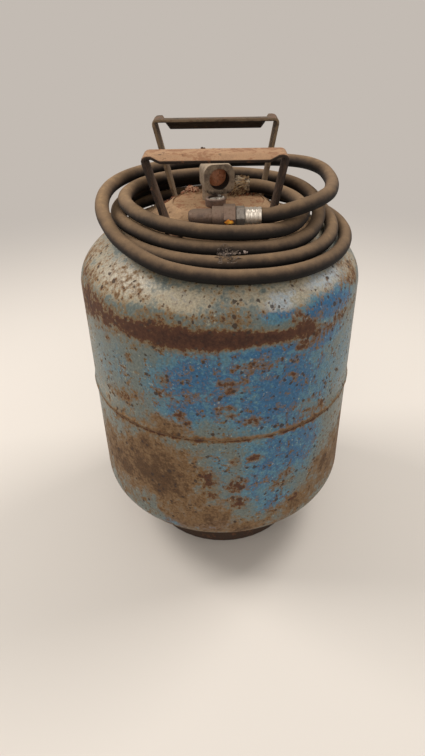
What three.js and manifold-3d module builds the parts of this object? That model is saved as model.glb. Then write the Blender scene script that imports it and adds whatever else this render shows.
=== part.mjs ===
// A weathered gas cylinder: two drawn steel halves joined at a girth seam, a foot ring, two strap
// handles with rolled grips, an outlet valve that has lost its handwheel, a relief valve, and a loose
// hose wound round the handles with a bullet-nose connector on one end and a torn end on the other.
// Millimetres, +Z up. The origin is the centre of the foot ring's lower edge. The front is -Y.
import * as THREE from "three";
import { mergeVertices } from "three/addons/utils/BufferGeometryUtils.js";
import Module from "manifold-3d";

const wasm = await Module();
wasm.setup();

// Fits and facets
const SEAT_GAP = 0.3;
const TURN_GAP = 0.35;
const CUT_MARGIN = 1;
const EDGE_BREAK = 0.8;
const SHELL_FACETS = 48;
const SMALL_FACETS = 24;
const HOLE_FACETS = 14;
const HEAD_STEPS = 10;
const HEAD_INNER_STEPS = 6;
const CORNER_STEPS = 4;
const STRAP_SPACING = 13;
const MERGE_DISTANCE = 1e-4;

// Vessel
const SHELL_RADIUS = 152.4;
const SHELL_WALL = 3;
const HEAD_DEPTH = 70;
const SKIRT_LENGTH = 123;
const BASE_CLEARANCE = 21;
const JOGGLE_LENGTH = 14;
const JOGGLE_SLOPE = 8;
const BEAD_WIDTH = 7;
const BEAD_HEIGHT = 1.5;

// Foot ring
const FOOT_RADIUS = 100;
const FOOT_WALL = 3;
const FOOT_LIP = 11;
const FOOT_BEND = 4;
const FOOT_FILLET = 1;
const DRAIN_RADIUS = 7;
const DRAIN_HEIGHT = 20;
const DRAIN_COUNT = 4;

// Crown flange
const FLANGE_RADIUS = 51;
const FLANGE_HEIGHT = 6;
const FLANGE_CHAMFER = 1.2;
const SPIGOT_RADIUS = 35.7;
const SPIGOT_DEPTH = 4;

// Strap handles
const STRAP_WIDTH = 30;
const STRAP_THICKNESS = 3.2;
const HANDLE_OFFSET = 55;
const GRIP_LENGTH = 134.6;
const LEG_SPREAD = 100;
const FOOT_TAB = 15;
const CORNER_RADIUS = 4;
const FOOT_RADIUS_BEND = 5;
const LIP_RADIUS = 7;
const EAR_LENGTH = 8.5;
const LIP_RUN_OUT = 8;
const FOOT_FLARE = 28;
const HANDLES = [
  { name: "front_handle", turn: Math.PI, rise: 66, gripShift: 2.5, lipWidth: 12, lipAngle: 25 },
  { name: "rear_handle", turn: 0, rise: 79, gripShift: -1.8, lipWidth: 20, lipAngle: 38 },
];

// Outlet valve
const VALVE_PLACE = [-4, 10];
const VALVE_TURN = 12;
const SHANK_RADIUS = 12;
const SHANK_LENGTH = 15;
const COLUMN_RADIUS = 13;
const OUTLET_HEIGHT = 25.5;
const BOSS_WIDTH = 31;
const BOSS_DEPTH = 29;
const BOSS_CORNER = 9;
const BOSS_REACH = 26;
const OUTLET_RADIUS = 10.3;
const OUTLET_DEPTH = 17;
const PORT_RADIUS = 3.5;
const NECK_RADIUS = 8.5;
const NECK_HEIGHT = 3.5;
const SPINDLE_RADIUS = 4;
const THREAD_RADIUS = 5;
const THREAD_SHOULDER = 1;
const SPINDLE_STUB = 2.5;
const SPINDLE_SQUARE = 5;
const NUT_ACROSS_FLATS = 22;
const NUT_ROOF = 1.8;
const PACKING_HEIGHT = 1.4;
const SEAT_DROP = 8;
const PLUG_LENGTH = 13;
const PLUG_DISC = 3.2;
const PLUG_WAIST = 3.4;
const PLUG_RADIUS = 4.7;
const PLUG_TOP = 2;

// Relief valve
const RELIEF_PLACE = [-3, -16];
const RELIEF_RADIUS = 10.4;
const RELIEF_HEIGHT = 8;
const RELIEF_CUP_RADIUS = 7.4;
const RELIEF_CUP_DEPTH = 4.5;
const RELIEF_SHANK_RADIUS = 7.5;
const RELIEF_SHANK_LENGTH = 14;
const RELIEF_BORE_RADIUS = 3;
const POPPET_RIM = 2.6;
const POPPET_DISH = 1;
const POPPET_STEM = 9;

// Hose and its connector, which lies along X
const HOSE_DIAMETER = 14;
const HOSE_SIDES = 10;
const HOSE_STEPS = 80;
const CONNECTOR_PLACE = [-79.5, 421.7];
const CONNECTOR_TIP = -28;
const NOSE_LENGTH = 30;
const NOSE_RADIUS = 7;
const NOSE_TIP_RADIUS = 3.2;
const NOSE_BORE = 2.4;
const NECK_SHAFT_RADIUS = 5.2;
const SWIVEL_START = 22;
const SWIVEL_LENGTH = 21.5;
const SWIVEL_THREAD_RADIUS = 9;
const SWIVEL_HEX_LENGTH = 11;
const SWIVEL_ACROSS_FLATS = 19.5;
const STEM_HEX_LENGTH = 8;
const STEM_ACROSS_FLATS = 16;
const STEM_BARB_RADIUS = 4.5;
const FERRULE_LENGTH = 15;
const FERRULE_RADIUS = 7.9;
const CRIMP_COUNT = 3;
const CRIMP_DEPTH = 0.6;

// The hose's centreline after the connector: the bearing in degrees from the front towards +X, the
// distance from the axis and the height.
const HOSE_ROUTE = [
  [33.8, 95.9, 423.1], [40.6, 102.5, 425.9], [47.7, 107.6, 428.2], [55, 111.2, 429.6], [62.5, 113.4, 430.4],
  [70.1, 115, 430.8], [86, 116.2, 431], [100.6, 119.5, 431.6], [114.3, 125.2, 432.4],
  [127.8, 128, 432.6], [141.6, 126, 431.4], [158.5, 120, 429.4], [180, 115.5, 427.8],
  [202, 114.5, 427.2], [218, 114.4, 427], [232.3, 113.8, 427], [245.8, 113.2, 427], [258, 113.6, 426.6],
  [267, 115.2, 425.4], [276, 117.8, 422.8], [284, 120.2, 418.6], [292, 121.8, 413.4],
  [301, 122.8, 407.8], [311.2, 125.5, 402.3], [324.7, 128, 395.2], [335.7, 129, 389.2],
  [347.6, 129.4, 385.6], [0, 130.4, 383.4], [11, 131.4, 382.6], [22, 132.8, 381.6], [34, 134.2, 380.9],
  [47, 134.6, 380.7], [60, 134.4, 381], [73, 133.8, 381.8], [86, 133, 383.2], [99, 130.5, 385.8],
  [113, 126, 388.8], [128, 120.5, 391.4], [145, 115, 393.3], [163, 112.5, 394], [180, 112, 394],
  [200, 112, 394], [220, 112.5, 393.8], [240, 113, 393.4], [255, 113.3, 393.2], [270, 113.5, 393],
  [285, 113.5, 393], [300, 113, 393.2], [315, 112.5, 393.5], [330, 114.2, 392.8], [345, 116, 391.6],
  [0, 117.4, 390.8], [17, 118.6, 390], [35, 121, 389], [52, 121, 389], [68, 120, 390], [84, 118, 393],
  [100, 115.2, 397], [116, 112.5, 401.4], [134, 111.4, 405.8], [155, 111, 408.6], [180, 110.6, 409],
  [205, 110.8, 408.8], [230, 109.6, 408], [252, 107.2, 407], [270, 106, 406.4], [286, 104.5, 405.6],
  [300, 102.5, 404.8], [315, 101.6, 403.6], [328, 102.4, 402], [342, 104, 400.6], [0, 105, 399.4],
  [12, 106, 398.6], [24, 107.2, 397.4], [36, 108, 396.6], [52, 106.8, 397.2], [68, 105, 399.8],
  [84, 104.6, 404.6], [100, 105, 409.6], [118, 103.4, 414.6], [138, 100.6, 417], [160, 98.4, 417.8],
  [180, 97.6, 418], [200, 97.6, 418], [220, 98.8, 418.6], [238, 97.8, 419.2], [254, 97.2, 419.2],
  [270, 96.8, 419.6], [284, 96.6, 419.6], [299, 96.6, 419.4], [313, 97.6, 418.2], [323.6, 98.8, 417.2],
  [335.2, 99, 415.8], [348.2, 98.6, 414], [0, 98.4, 412.6], [13, 99.4, 411.4], [25, 100.6, 410.6],
  [34.5, 101, 409.6], [46.2, 99.4, 410], [58, 95.8, 412], [70, 89.6, 413.4], [82.3, 82, 415.2],
  [95.3, 71.4, 417.4], [109.3, 58.9, 419.8], [121.3, 48.7, 421.2], [141.5, 36.2, 421.6],
];

// Heights that follow from the sizes above
const LOWER_TANGENT = BASE_CLEARANCE + HEAD_DEPTH;
const SEAM_HEIGHT = LOWER_TANGENT + SKIRT_LENGTH;
const UPPER_TANGENT = SEAM_HEIGHT + SKIRT_LENGTH;
const CROWN_HEIGHT = UPPER_TANGENT + HEAD_DEPTH;
const FLANGE_TOP = CROWN_HEIGHT + FLANGE_HEIGHT;
const OUTLET_LEVEL = FLANGE_TOP + OUTLET_HEIGHT;
const BLOCK_TOP = OUTLET_LEVEL + BOSS_DEPTH / 2;
const NECK_TOP = BLOCK_TOP + NECK_HEIGHT;
const INNER_RADIUS = SHELL_RADIUS - SHELL_WALL;

const FINISH = {
  paint: { color: 0x5d86a3, roughness: 0.6, metalness: 0 },
  rust: { color: 0x6b4a37, roughness: 0.9, metalness: 0.1 },
  strap: { color: 0x7a5b46, roughness: 0.85, metalness: 0.1 },
  brass: { color: 0x6f675c, roughness: 0.6, metalness: 0.8 },
  zinc: { color: 0xb9b6ae, roughness: 0.35, metalness: 0.9 },
  rubber: { color: 0x2c2724, roughness: 0.8, metalness: 0 },
  packing: { color: 0x8d8778, roughness: 0.9, metalness: 0 },
};

/** Turn a profile of [radius, height] points, listed anticlockwise, round Z. */
function revolve(profile, facets) {
  const points = profile.map(([radius, height]) => new THREE.Vector2(radius, height));
  const geometry = new THREE.LatheGeometry(points, facets);
  geometry.rotateX(Math.PI / 2);
  return geometry;
}

/** Close a ring profile on its first point. */
function closed(profile) {
  return [...profile, profile[0]];
}

/** A closed mesh as a solid that can be joined and cut. */
function solid(geometry) {
  const bare = geometry.clone();
  for (const name of Object.keys(bare.attributes)) {
    if (name !== "position") {
      bare.deleteAttribute(name);
    }
  }
  const merged = mergeVertices(bare, MERGE_DISTANCE);
  const corners = merged.index.array;
  const kept = [];
  for (let i = 0; i < corners.length; i += 3) {
    const [a, b, c] = [corners[i], corners[i + 1], corners[i + 2]];
    if (a !== b && b !== c && c !== a) {
      kept.push(a, b, c);
    }
  }
  const vertProperties = new Float32Array(merged.attributes.position.array);
  const triVerts = new Uint32Array(kept);
  return new wasm.Manifold(new wasm.Mesh({ numProp: 3, vertProperties, triVerts }));
}

/** A solid as a geometry. */
function geometryOf(body) {
  const mesh = body.getMesh();
  const geometry = new THREE.BufferGeometry();
  geometry.setAttribute("position", new THREE.BufferAttribute(mesh.vertProperties, 3));
  geometry.setIndex(new THREE.BufferAttribute(mesh.triVerts, 1));
  return geometry;
}

/** A named piece with its finish. */
function piece(name, body, finish) {
  const geometry = geometryOf(body);
  geometry.computeVertexNormals();
  const mesh = new THREE.Mesh(geometry, new THREE.MeshStandardMaterial(finish));
  mesh.name = name;
  return mesh;
}

/** An upright round bar from one height to another. */
function bar(radius, bottom, top, facets = SMALL_FACETS) {
  const geometry = new THREE.CylinderGeometry(radius, radius, top - bottom, facets);
  geometry.rotateX(Math.PI / 2);
  geometry.translate(0, 0, (top + bottom) / 2);
  return geometry;
}

/** An upright hexagonal bar, measured across its flats. */
function hexBar(acrossFlats, bottom, top) {
  return bar(acrossFlats / Math.sqrt(3), bottom, top, 6);
}

/** Height of the upper head's outside at a distance from the axis. */
function crownAt(radius) {
  return UPPER_TANGENT + HEAD_DEPTH * Math.sqrt(1 - (radius / SHELL_RADIUS) ** 2);
}

/** Height of the lower head's outside at a distance from the axis. */
function bellyAt(radius) {
  return LOWER_TANGENT - HEAD_DEPTH * Math.sqrt(1 - (radius / SHELL_RADIUS) ** 2);
}

/** Points along a quarter ellipse of a head, from one distance to another. */
function headArc(radius, depth, tangent, from, to, count) {
  const start = Math.asin(from / radius);
  const end = Math.asin(to / radius);
  const points = [];
  for (let i = 0; i <= count; i += 1) {
    const angle = start + ((end - start) * i) / count;
    points.push([radius * Math.sin(angle), tangent + depth * Math.cos(angle)]);
  }
  return points;
}

/** Upper half: open at the crown for the flange, with the weld bead round its rim. */
function upperShell() {
  const hole = SPIGOT_RADIUS + SEAT_GAP;
  const bead = [0.25, 0.5, 0.75].map((share) => [
    SHELL_RADIUS + BEAD_HEIGHT * Math.sin(Math.PI * share),
    SEAM_HEIGHT + BEAD_WIDTH * share,
  ]);
  return solid(revolve(closed([
    [INNER_RADIUS, SEAM_HEIGHT],
    [SHELL_RADIUS, SEAM_HEIGHT],
    ...bead,
    [SHELL_RADIUS, SEAM_HEIGHT + BEAD_WIDTH],
    ...headArc(SHELL_RADIUS, HEAD_DEPTH, UPPER_TANGENT, SHELL_RADIUS, hole, HEAD_STEPS),
    ...headArc(INNER_RADIUS, HEAD_DEPTH - SHELL_WALL, UPPER_TANGENT, hole, INNER_RADIUS, HEAD_INNER_STEPS),
  ]), SHELL_FACETS));
}

/** Lower half: its rim is set in and slides inside the upper half behind the seam. */
function lowerShell() {
  const rim = INNER_RADIUS - SEAT_GAP;
  const edge = SEAM_HEIGHT - SEAT_GAP;
  return solid(revolve([
    ...headArc(SHELL_RADIUS, -HEAD_DEPTH, LOWER_TANGENT, 0, SHELL_RADIUS, HEAD_STEPS),
    [SHELL_RADIUS, edge],
    [rim, edge],
    [rim, SEAM_HEIGHT + JOGGLE_LENGTH],
    [rim - SHELL_WALL, SEAM_HEIGHT + JOGGLE_LENGTH],
    [rim - SHELL_WALL, edge],
    [INNER_RADIUS, edge - JOGGLE_SLOPE],
    ...headArc(INNER_RADIUS, SHELL_WALL - HEAD_DEPTH, LOWER_TANGENT, INNER_RADIUS, 0, HEAD_INNER_STEPS),
  ], SHELL_FACETS));
}

/** Foot ring: a rolled band coped to the lower head, turned in at the floor, with drain holes. */
function footRing() {
  const inner = FOOT_RADIUS - FOOT_WALL;
  const bend = [0.5, 1].map((share) => {
    const angle = (Math.PI / 2) * share;
    return [
      FOOT_RADIUS - FOOT_BEND * (1 - Math.sin(angle)),
      FOOT_BEND * (1 - Math.cos(angle)),
    ];
  });
  let ring = solid(revolve(closed([
    [FOOT_RADIUS - FOOT_LIP, 0],
    [FOOT_RADIUS - FOOT_BEND, 0],
    ...bend,
    [FOOT_RADIUS, bellyAt(FOOT_RADIUS) - SEAT_GAP],
    [inner, bellyAt(inner) - SEAT_GAP],
    [inner, FOOT_WALL + FOOT_FILLET],
    [inner - FOOT_FILLET, FOOT_WALL],
    [FOOT_RADIUS - FOOT_LIP, FOOT_WALL],
  ]), SHELL_FACETS));
  for (let i = 0; i < DRAIN_COUNT; i += 1) {
    const drill = bar(DRAIN_RADIUS, inner - FOOT_WALL, FOOT_RADIUS + FOOT_WALL, HOLE_FACETS);
    drill.rotateX(Math.PI / 2);
    drill.translate(0, 0, DRAIN_HEIGHT);
    drill.rotateZ((Math.PI * 2 * (i + 0.5)) / DRAIN_COUNT);
    ring = ring.subtract(solid(drill));
  }
  return ring;
}

/** Crown flange: a forged disc whose spigot drops through the upper head, bored for both valves. */
function crownFlange() {
  const underside = [0, 0.5, 1].map((share) => {
    const radius = SPIGOT_RADIUS + (FLANGE_RADIUS - SPIGOT_RADIUS) * share;
    return [radius, crownAt(radius) + SEAT_GAP];
  });
  const bottom = crownAt(SPIGOT_RADIUS) - SHELL_WALL - SPIGOT_DEPTH;
  const disc = solid(revolve([
    [0, bottom],
    [SPIGOT_RADIUS, bottom],
    ...underside,
    [FLANGE_RADIUS, FLANGE_TOP - FLANGE_CHAMFER],
    [FLANGE_RADIUS - FLANGE_CHAMFER, FLANGE_TOP],
    [0, FLANGE_TOP],
  ], SHELL_FACETS));
  const valveHole = bar(SHANK_RADIUS + SEAT_GAP, bottom - CUT_MARGIN, FLANGE_TOP + CUT_MARGIN);
  valveHole.translate(...VALVE_PLACE, 0);
  const reliefHole = bar(RELIEF_SHANK_RADIUS + SEAT_GAP, bottom - CUT_MARGIN, FLANGE_TOP + CUT_MARGIN);
  reliefHole.translate(...RELIEF_PLACE, 0);
  return disc.subtract(solid(valveHole)).subtract(solid(reliefHole));
}

/** A path through corner points with its corners rounded to the radii given. */
function roundedPath(corners, radii, arcSteps) {
  const path = [corners[0]];
  for (let i = 1; i < corners.length - 1; i += 1) {
    const before = corners[i - 1].clone().sub(corners[i]).normalize();
    const after = corners[i + 1].clone().sub(corners[i]).normalize();
    const half = before.angleTo(after) / 2;
    const run = radii[i - 1] / Math.tan(half);
    const start = corners[i].clone().addScaledVector(before, run);
    const end = corners[i].clone().addScaledVector(after, run);
    const arc = new THREE.QuadraticBezierCurve(start, corners[i], end);
    path.push(...arc.getPoints(arcSteps));
  }
  path.push(corners[corners.length - 1]);
  return path;
}

/** Extra points on a straight run of a path that is longer than the spacing. */
function subdivided(path, spacing) {
  const points = [path[0]];
  for (let i = 1; i < path.length; i += 1) {
    const count = Math.max(1, Math.round(path[i].distanceTo(path[i - 1]) / spacing));
    for (let j = 1; j <= count; j += 1) {
      points.push(path[i - 1].clone().lerp(path[i], j / count));
    }
  }
  return points;
}

/** The strap's section at one station: places across its width, with the rolled lip's bend. */
function strapSection(lipWidth, lipAngle) {
  const flat = STRAP_WIDTH / 2 - lipWidth;
  const section = [-STRAP_WIDTH / 2, -STRAP_WIDTH / 4, flat].map((across) => ({ across, drop: 0, lean: 0 }));
  for (const share of [0.25, 0.5, 0.75, 1]) {
    const along = lipWidth * share;
    const lean = Math.min(along / LIP_RADIUS, lipAngle);
    const straight = along - lean * LIP_RADIUS;
    section.push({
      across: flat + LIP_RADIUS * Math.sin(lean) + straight * Math.cos(lean),
      drop: LIP_RADIUS * (1 - Math.cos(lean)) + straight * Math.sin(lean),
      lean,
    });
  }
  return section;
}

/** One strap handle, standing behind the axis: feet coped to the crown, legs, ears and rolled grip. */
function strapHandle({ rise, gripShift, lipWidth, lipAngle }) {
  const footEnd = LEG_SPREAD / 2 - FOOT_TAB;
  const footHeight = (x, y) => crownAt(Math.hypot(x, y)) + SEAT_GAP + STRAP_THICKNESS / 2;
  const legFoot = LEG_SPREAD / 2 - STRAP_THICKNESS / 2;
  const gripHalf = GRIP_LENGTH / 2 - STRAP_THICKNESS / 2;
  const top = CROWN_HEIGHT + rise - STRAP_THICKNESS / 2;
  const feet = [
    new THREE.Vector2(footEnd, footHeight(footEnd, HANDLE_OFFSET)),
    new THREE.Vector2(legFoot, footHeight(legFoot, HANDLE_OFFSET)),
  ];
  const corners = [
    ...feet.map((point) => new THREE.Vector2(-point.x, point.y)),
    new THREE.Vector2(gripShift - gripHalf, top),
    new THREE.Vector2(gripShift + gripHalf, top),
    ...feet.slice().reverse(),
  ];
  const radii = [FOOT_RADIUS_BEND, CORNER_RADIUS, CORNER_RADIUS, FOOT_RADIUS_BEND];
  const path = roundedPath(corners, radii, CORNER_STEPS);
  const stations = subdivided(path, STRAP_SPACING).flatMap((point, i, all) => {
    const runOut = gripHalf - EAR_LENGTH;
    const next = all[i + 1];
    const marks = [runOut, runOut - LIP_RUN_OUT / 2, runOut - LIP_RUN_OUT];
    const signed = [...marks.map((mark) => -mark), ...marks.slice().reverse()].map((x) => gripShift + x);
    const level = next && Math.abs(point.y - top) < MERGE_DISTANCE && Math.abs(next.y - top) < MERGE_DISTANCE;
    const inside = level ? signed.filter((x) => x > point.x + CUT_MARGIN && x < next.x - CUT_MARGIN) : [];
    return [point, ...inside.map((x) => new THREE.Vector2(x, top))];
  });
  const rows = stations.map((point, i) => {
    const before = stations[Math.max(i - 1, 0)];
    const after = stations[Math.min(i + 1, stations.length - 1)];
    const along = after.clone().sub(before).normalize();
    const outward = new THREE.Vector2(-along.y, along.x);
    const onGrip = Math.abs(point.y - top) < MERGE_DISTANCE;
    const inset = (gripHalf - EAR_LENGTH - Math.abs(point.x - gripShift)) / LIP_RUN_OUT;
    const roll = onGrip ? THREE.MathUtils.smoothstep(inset, 0, 1) : 0;
    const climb = (point.y - feet[1].y) / FOOT_FLARE;
    const coping = 1 - THREE.MathUtils.smoothstep(climb, 0, 1);
    const section = strapSection(lipWidth, THREE.MathUtils.degToRad(lipAngle) * roll);
    const corner = (place, side) => {
      const y = HANDLE_OFFSET + place.across;
      const reach = (side * STRAP_THICKNESS) / 2;
      const foot = Math.min(Math.abs(point.x), legFoot);
      const cope = coping * (footHeight(foot, y) - footHeight(foot, HANDLE_OFFSET));
      const out = reach * Math.cos(place.lean) - place.drop;
      return [
        point.x + outward.x * out,
        y + reach * Math.sin(place.lean),
        point.y + outward.y * out + cope,
      ];
    };
    const outer = section.map((place) => corner(place, 1));
    const inner = section.map((place) => corner(place, -1)).reverse();
    return [...outer, ...inner];
  });
  return solid(loft(rows));
}

/** A closed skin over rows of section points, with both ends capped. */
function loft(rows) {
  const ring = rows[0].length;
  const faces = [];
  for (let i = 0; i < rows.length - 1; i += 1) {
    for (let j = 0; j < ring; j += 1) {
      const a = i * ring + j;
      const b = i * ring + ((j + 1) % ring);
      faces.push(a, a + ring, b, b, a + ring, b + ring);
    }
  }
  const last = (rows.length - 1) * ring;
  for (let j = 0; j < ring / 2 - 1; j += 1) {
    const k = ring - 1 - j;
    faces.push(j, j + 1, k, j + 1, k - 1, k);
    faces.push(last + j, last + k, last + j + 1, last + j + 1, last + k, last + k - 1);
  }
  const geometry = new THREE.BufferGeometry();
  geometry.setAttribute("position", new THREE.Float32BufferAttribute(rows.flat(2), 3));
  geometry.setIndex(faces);
  return geometry;
}

/** A rectangle with rounded corners, centred on the origin. */
function roundedRectangle(width, height, radius) {
  const shape = new THREE.Shape();
  const x = width / 2 - radius;
  const y = height / 2 - radius;
  shape.absarc(x, y, radius, 0, Math.PI / 2);
  shape.absarc(-x, y, radius, Math.PI / 2, Math.PI);
  shape.absarc(-x, -y, radius, Math.PI, Math.PI * 1.5);
  shape.absarc(x, -y, radius, Math.PI * 1.5, Math.PI * 2);
  return shape;
}

/** Lay an upright geometry down so that +Z points to the front at the outlet's level. */
function towardsOutlet(geometry) {
  geometry.rotateX(Math.PI / 2);
  geometry.translate(0, 0, OUTLET_LEVEL);
  return geometry;
}

/** Valve body: shank, column and square-shouldered outlet boss, with its gas ways. */
function valveBody() {
  const foot = FLANGE_TOP + SEAT_GAP;
  const bottom = FLANGE_TOP - SHANK_LENGTH;
  const column = solid(revolve([
    [0, bottom],
    [SHANK_RADIUS, bottom],
    [SHANK_RADIUS, foot],
    [COLUMN_RADIUS, foot],
    [COLUMN_RADIUS, BLOCK_TOP],
    [NECK_RADIUS, BLOCK_TOP],
    [NECK_RADIUS, NECK_TOP],
    [0, NECK_TOP],
  ], SMALL_FACETS));
  const outline = roundedRectangle(BOSS_WIDTH, BOSS_DEPTH, BOSS_CORNER);
  const extrusion = { depth: BOSS_REACH, bevelEnabled: false, curveSegments: CORNER_STEPS };
  const boss = new THREE.ExtrudeGeometry(outline, extrusion);
  const outlet = bar(OUTLET_RADIUS, BOSS_REACH - OUTLET_DEPTH, BOSS_REACH + CUT_MARGIN);
  const port = bar(PORT_RADIUS, 0, BOSS_REACH - OUTLET_DEPTH + CUT_MARGIN, HOLE_FACETS);
  const gasWay = bar(PORT_RADIUS, bottom - CUT_MARGIN, OUTLET_LEVEL, HOLE_FACETS);
  const spindleWay = bar(THREAD_RADIUS + TURN_GAP, OUTLET_LEVEL - SEAT_DROP, NECK_TOP + CUT_MARGIN);
  return column
    .add(solid(towardsOutlet(boss)))
    .subtract(solid(towardsOutlet(outlet)))
    .subtract(solid(towardsOutlet(port)))
    .subtract(solid(gasWay))
    .subtract(solid(spindleWay));
}

/** Packing nut: a hexagon cap over the neck, open at the top for the spindle. */
function packingNut() {
  const bottom = BLOCK_TOP + SEAT_GAP;
  const roof = NECK_TOP + SEAT_GAP + PACKING_HEIGHT + SEAT_GAP;
  const hex = solid(hexBar(NUT_ACROSS_FLATS, bottom, roof + NUT_ROOF));
  return hex
    .subtract(solid(bar(NECK_RADIUS + SEAT_GAP, bottom - CUT_MARGIN, roof)))
    .subtract(solid(bar(SPINDLE_RADIUS + TURN_GAP, bottom, roof + NUT_ROOF + CUT_MARGIN)));
}

/** Packing ring, pressed between the neck and the nut's roof. */
function packingRing() {
  const bottom = NECK_TOP + SEAT_GAP;
  const inner = SPINDLE_RADIUS + TURN_GAP;
  return solid(revolve(closed([
    [inner, bottom],
    [NECK_RADIUS, bottom],
    [NECK_RADIUS, bottom + PACKING_HEIGHT],
    [inner, bottom + PACKING_HEIGHT],
  ]), SMALL_FACETS));
}

/** Spindle: a threaded foot in the neck, a round shaft and the bare square that took the handwheel. */
function spindle() {
  const bottom = OUTLET_LEVEL - SEAT_DROP + SEAT_GAP + PLUG_LENGTH + SEAT_GAP;
  const shoulder = NECK_TOP - THREAD_SHOULDER;
  const roof = NECK_TOP + 2 * SEAT_GAP + PACKING_HEIGHT + NUT_ROOF;
  const shaft = solid(revolve([
    [0, bottom],
    [THREAD_RADIUS, bottom],
    [THREAD_RADIUS, shoulder],
    [SPINDLE_RADIUS, shoulder],
    [SPINDLE_RADIUS, roof],
    [0, roof],
  ], SMALL_FACETS));
  const square = bar(SPINDLE_SQUARE / Math.SQRT2, roof - CUT_MARGIN, roof + SPINDLE_STUB, 4);
  return shaft.add(solid(square));
}

/** Seat plug: the disc that closes the gas way, on a waisted stem below the spindle. */
function seatPlug() {
  const bottom = OUTLET_LEVEL - SEAT_DROP + SEAT_GAP;
  return solid(revolve([
    [0, bottom],
    [PLUG_RADIUS, bottom],
    [PLUG_RADIUS, bottom + PLUG_DISC],
    [PLUG_WAIST, bottom + PLUG_DISC],
    [PLUG_WAIST, bottom + PLUG_LENGTH - PLUG_TOP],
    [PLUG_RADIUS, bottom + PLUG_LENGTH - PLUG_TOP],
    [PLUG_RADIUS, bottom + PLUG_LENGTH],
    [0, bottom + PLUG_LENGTH],
  ], SMALL_FACETS));
}

/** Relief valve: a round cup on a threaded shank. */
function reliefBody() {
  const foot = FLANGE_TOP + SEAT_GAP;
  const bottom = FLANGE_TOP - RELIEF_SHANK_LENGTH;
  const top = foot + RELIEF_HEIGHT;
  return solid(revolve(closed([
    [RELIEF_BORE_RADIUS, bottom],
    [RELIEF_SHANK_RADIUS, bottom],
    [RELIEF_SHANK_RADIUS, foot],
    [RELIEF_RADIUS, foot],
    [RELIEF_RADIUS, top - EDGE_BREAK],
    [RELIEF_RADIUS - EDGE_BREAK, top],
    [RELIEF_CUP_RADIUS, top],
    [RELIEF_CUP_RADIUS, top - RELIEF_CUP_DEPTH],
    [RELIEF_BORE_RADIUS, top - RELIEF_CUP_DEPTH],
  ]), SMALL_FACETS));
}

/** Relief poppet: the crusted disc in the cup, with its stem down the bore. */
function reliefPoppet() {
  const floor = FLANGE_TOP + SEAT_GAP + RELIEF_HEIGHT - RELIEF_CUP_DEPTH + SEAT_GAP;
  const stem = RELIEF_BORE_RADIUS - SEAT_GAP;
  const rim = RELIEF_CUP_RADIUS - SEAT_GAP;
  return solid(revolve([
    [0, floor - POPPET_STEM],
    [stem, floor - POPPET_STEM],
    [stem, floor],
    [rim, floor],
    [rim, floor + POPPET_RIM - EDGE_BREAK],
    [rim - EDGE_BREAK, floor + POPPET_RIM],
    [0, floor + POPPET_RIM - POPPET_DISH],
  ], SMALL_FACETS));
}

// The connector's pieces stand on Z here, from the nose's tip up, and their group lays them along +X.
const SWIVEL_END = SWIVEL_START + SWIVEL_LENGTH;
const STEM_START = SWIVEL_END + TURN_GAP;
const STEM_HEX_END = STEM_START + STEM_HEX_LENGTH;
const FERRULE_START = STEM_HEX_END + SEAT_GAP;
const FERRULE_END = FERRULE_START + FERRULE_LENGTH;

/** Bullet nose: a bored nipple with a domed tip, whose shaft runs through the swivel nut. */
function hoseNose() {
  const dome = [0.25, 0.5, 0.75, 1].map((share) => {
    const angle = (Math.PI / 2) * share;
    return [
      NOSE_TIP_RADIUS + (NOSE_RADIUS - NOSE_TIP_RADIUS) * Math.sin(angle),
      NOSE_RADIUS * (1 - Math.cos(angle)),
    ];
  });
  return solid(revolve(closed([
    [NOSE_BORE, 0],
    [NOSE_TIP_RADIUS, 0],
    ...dome,
    [NOSE_RADIUS, NOSE_LENGTH],
    [NECK_SHAFT_RADIUS, NOSE_LENGTH],
    [NECK_SHAFT_RADIUS, STEM_START - SEAT_GAP],
    [NOSE_BORE, STEM_START - SEAT_GAP],
  ]), SMALL_FACETS));
}

/** Swivel nut: a threaded sleeve that grips the nose's shoulder, with a hexagon behind it. */
function swivelNut() {
  const hexStart = SWIVEL_END - SWIVEL_HEX_LENGTH;
  const sleeve = solid(bar(SWIVEL_THREAD_RADIUS, SWIVEL_START, SWIVEL_END - CUT_MARGIN));
  const hex = solid(hexBar(SWIVEL_ACROSS_FLATS, hexStart, SWIVEL_END));
  return sleeve.add(hex)
    .subtract(solid(bar(NOSE_RADIUS + TURN_GAP, SWIVEL_START - CUT_MARGIN, NOSE_LENGTH + TURN_GAP)))
    .subtract(solid(bar(NECK_SHAFT_RADIUS + TURN_GAP, SWIVEL_START, SWIVEL_END + CUT_MARGIN)));
}

/** Hose stem: the hexagon that takes the nose, with the barb that the hose is pushed on. */
function hoseStem() {
  const hex = solid(hexBar(STEM_ACROSS_FLATS, STEM_START, STEM_HEX_END));
  const barb = solid(bar(STEM_BARB_RADIUS, STEM_HEX_END - CUT_MARGIN, FERRULE_END - CUT_MARGIN));
  return hex.add(barb).subtract(solid(bar(NOSE_BORE, STEM_START - CUT_MARGIN, FERRULE_END)));
}

/** Ferrule: a sleeve crimped over the end of the hose. */
function hoseFerrule() {
  const crimps = [];
  const pitch = FERRULE_LENGTH / (CRIMP_COUNT + 1);
  for (let i = 1; i <= CRIMP_COUNT; i += 1) {
    const middle = FERRULE_START + pitch * i;
    crimps.push([FERRULE_RADIUS, middle - pitch / 3]);
    crimps.push([FERRULE_RADIUS - CRIMP_DEPTH, middle]);
    crimps.push([FERRULE_RADIUS, middle + pitch / 3]);
  }
  const inner = STEM_BARB_RADIUS + SEAT_GAP;
  return solid(revolve(closed([
    [inner, FERRULE_START],
    [FERRULE_RADIUS, FERRULE_START],
    ...crimps,
    [FERRULE_RADIUS, FERRULE_END],
    [inner, FERRULE_END],
  ]), SMALL_FACETS));
}

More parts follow.
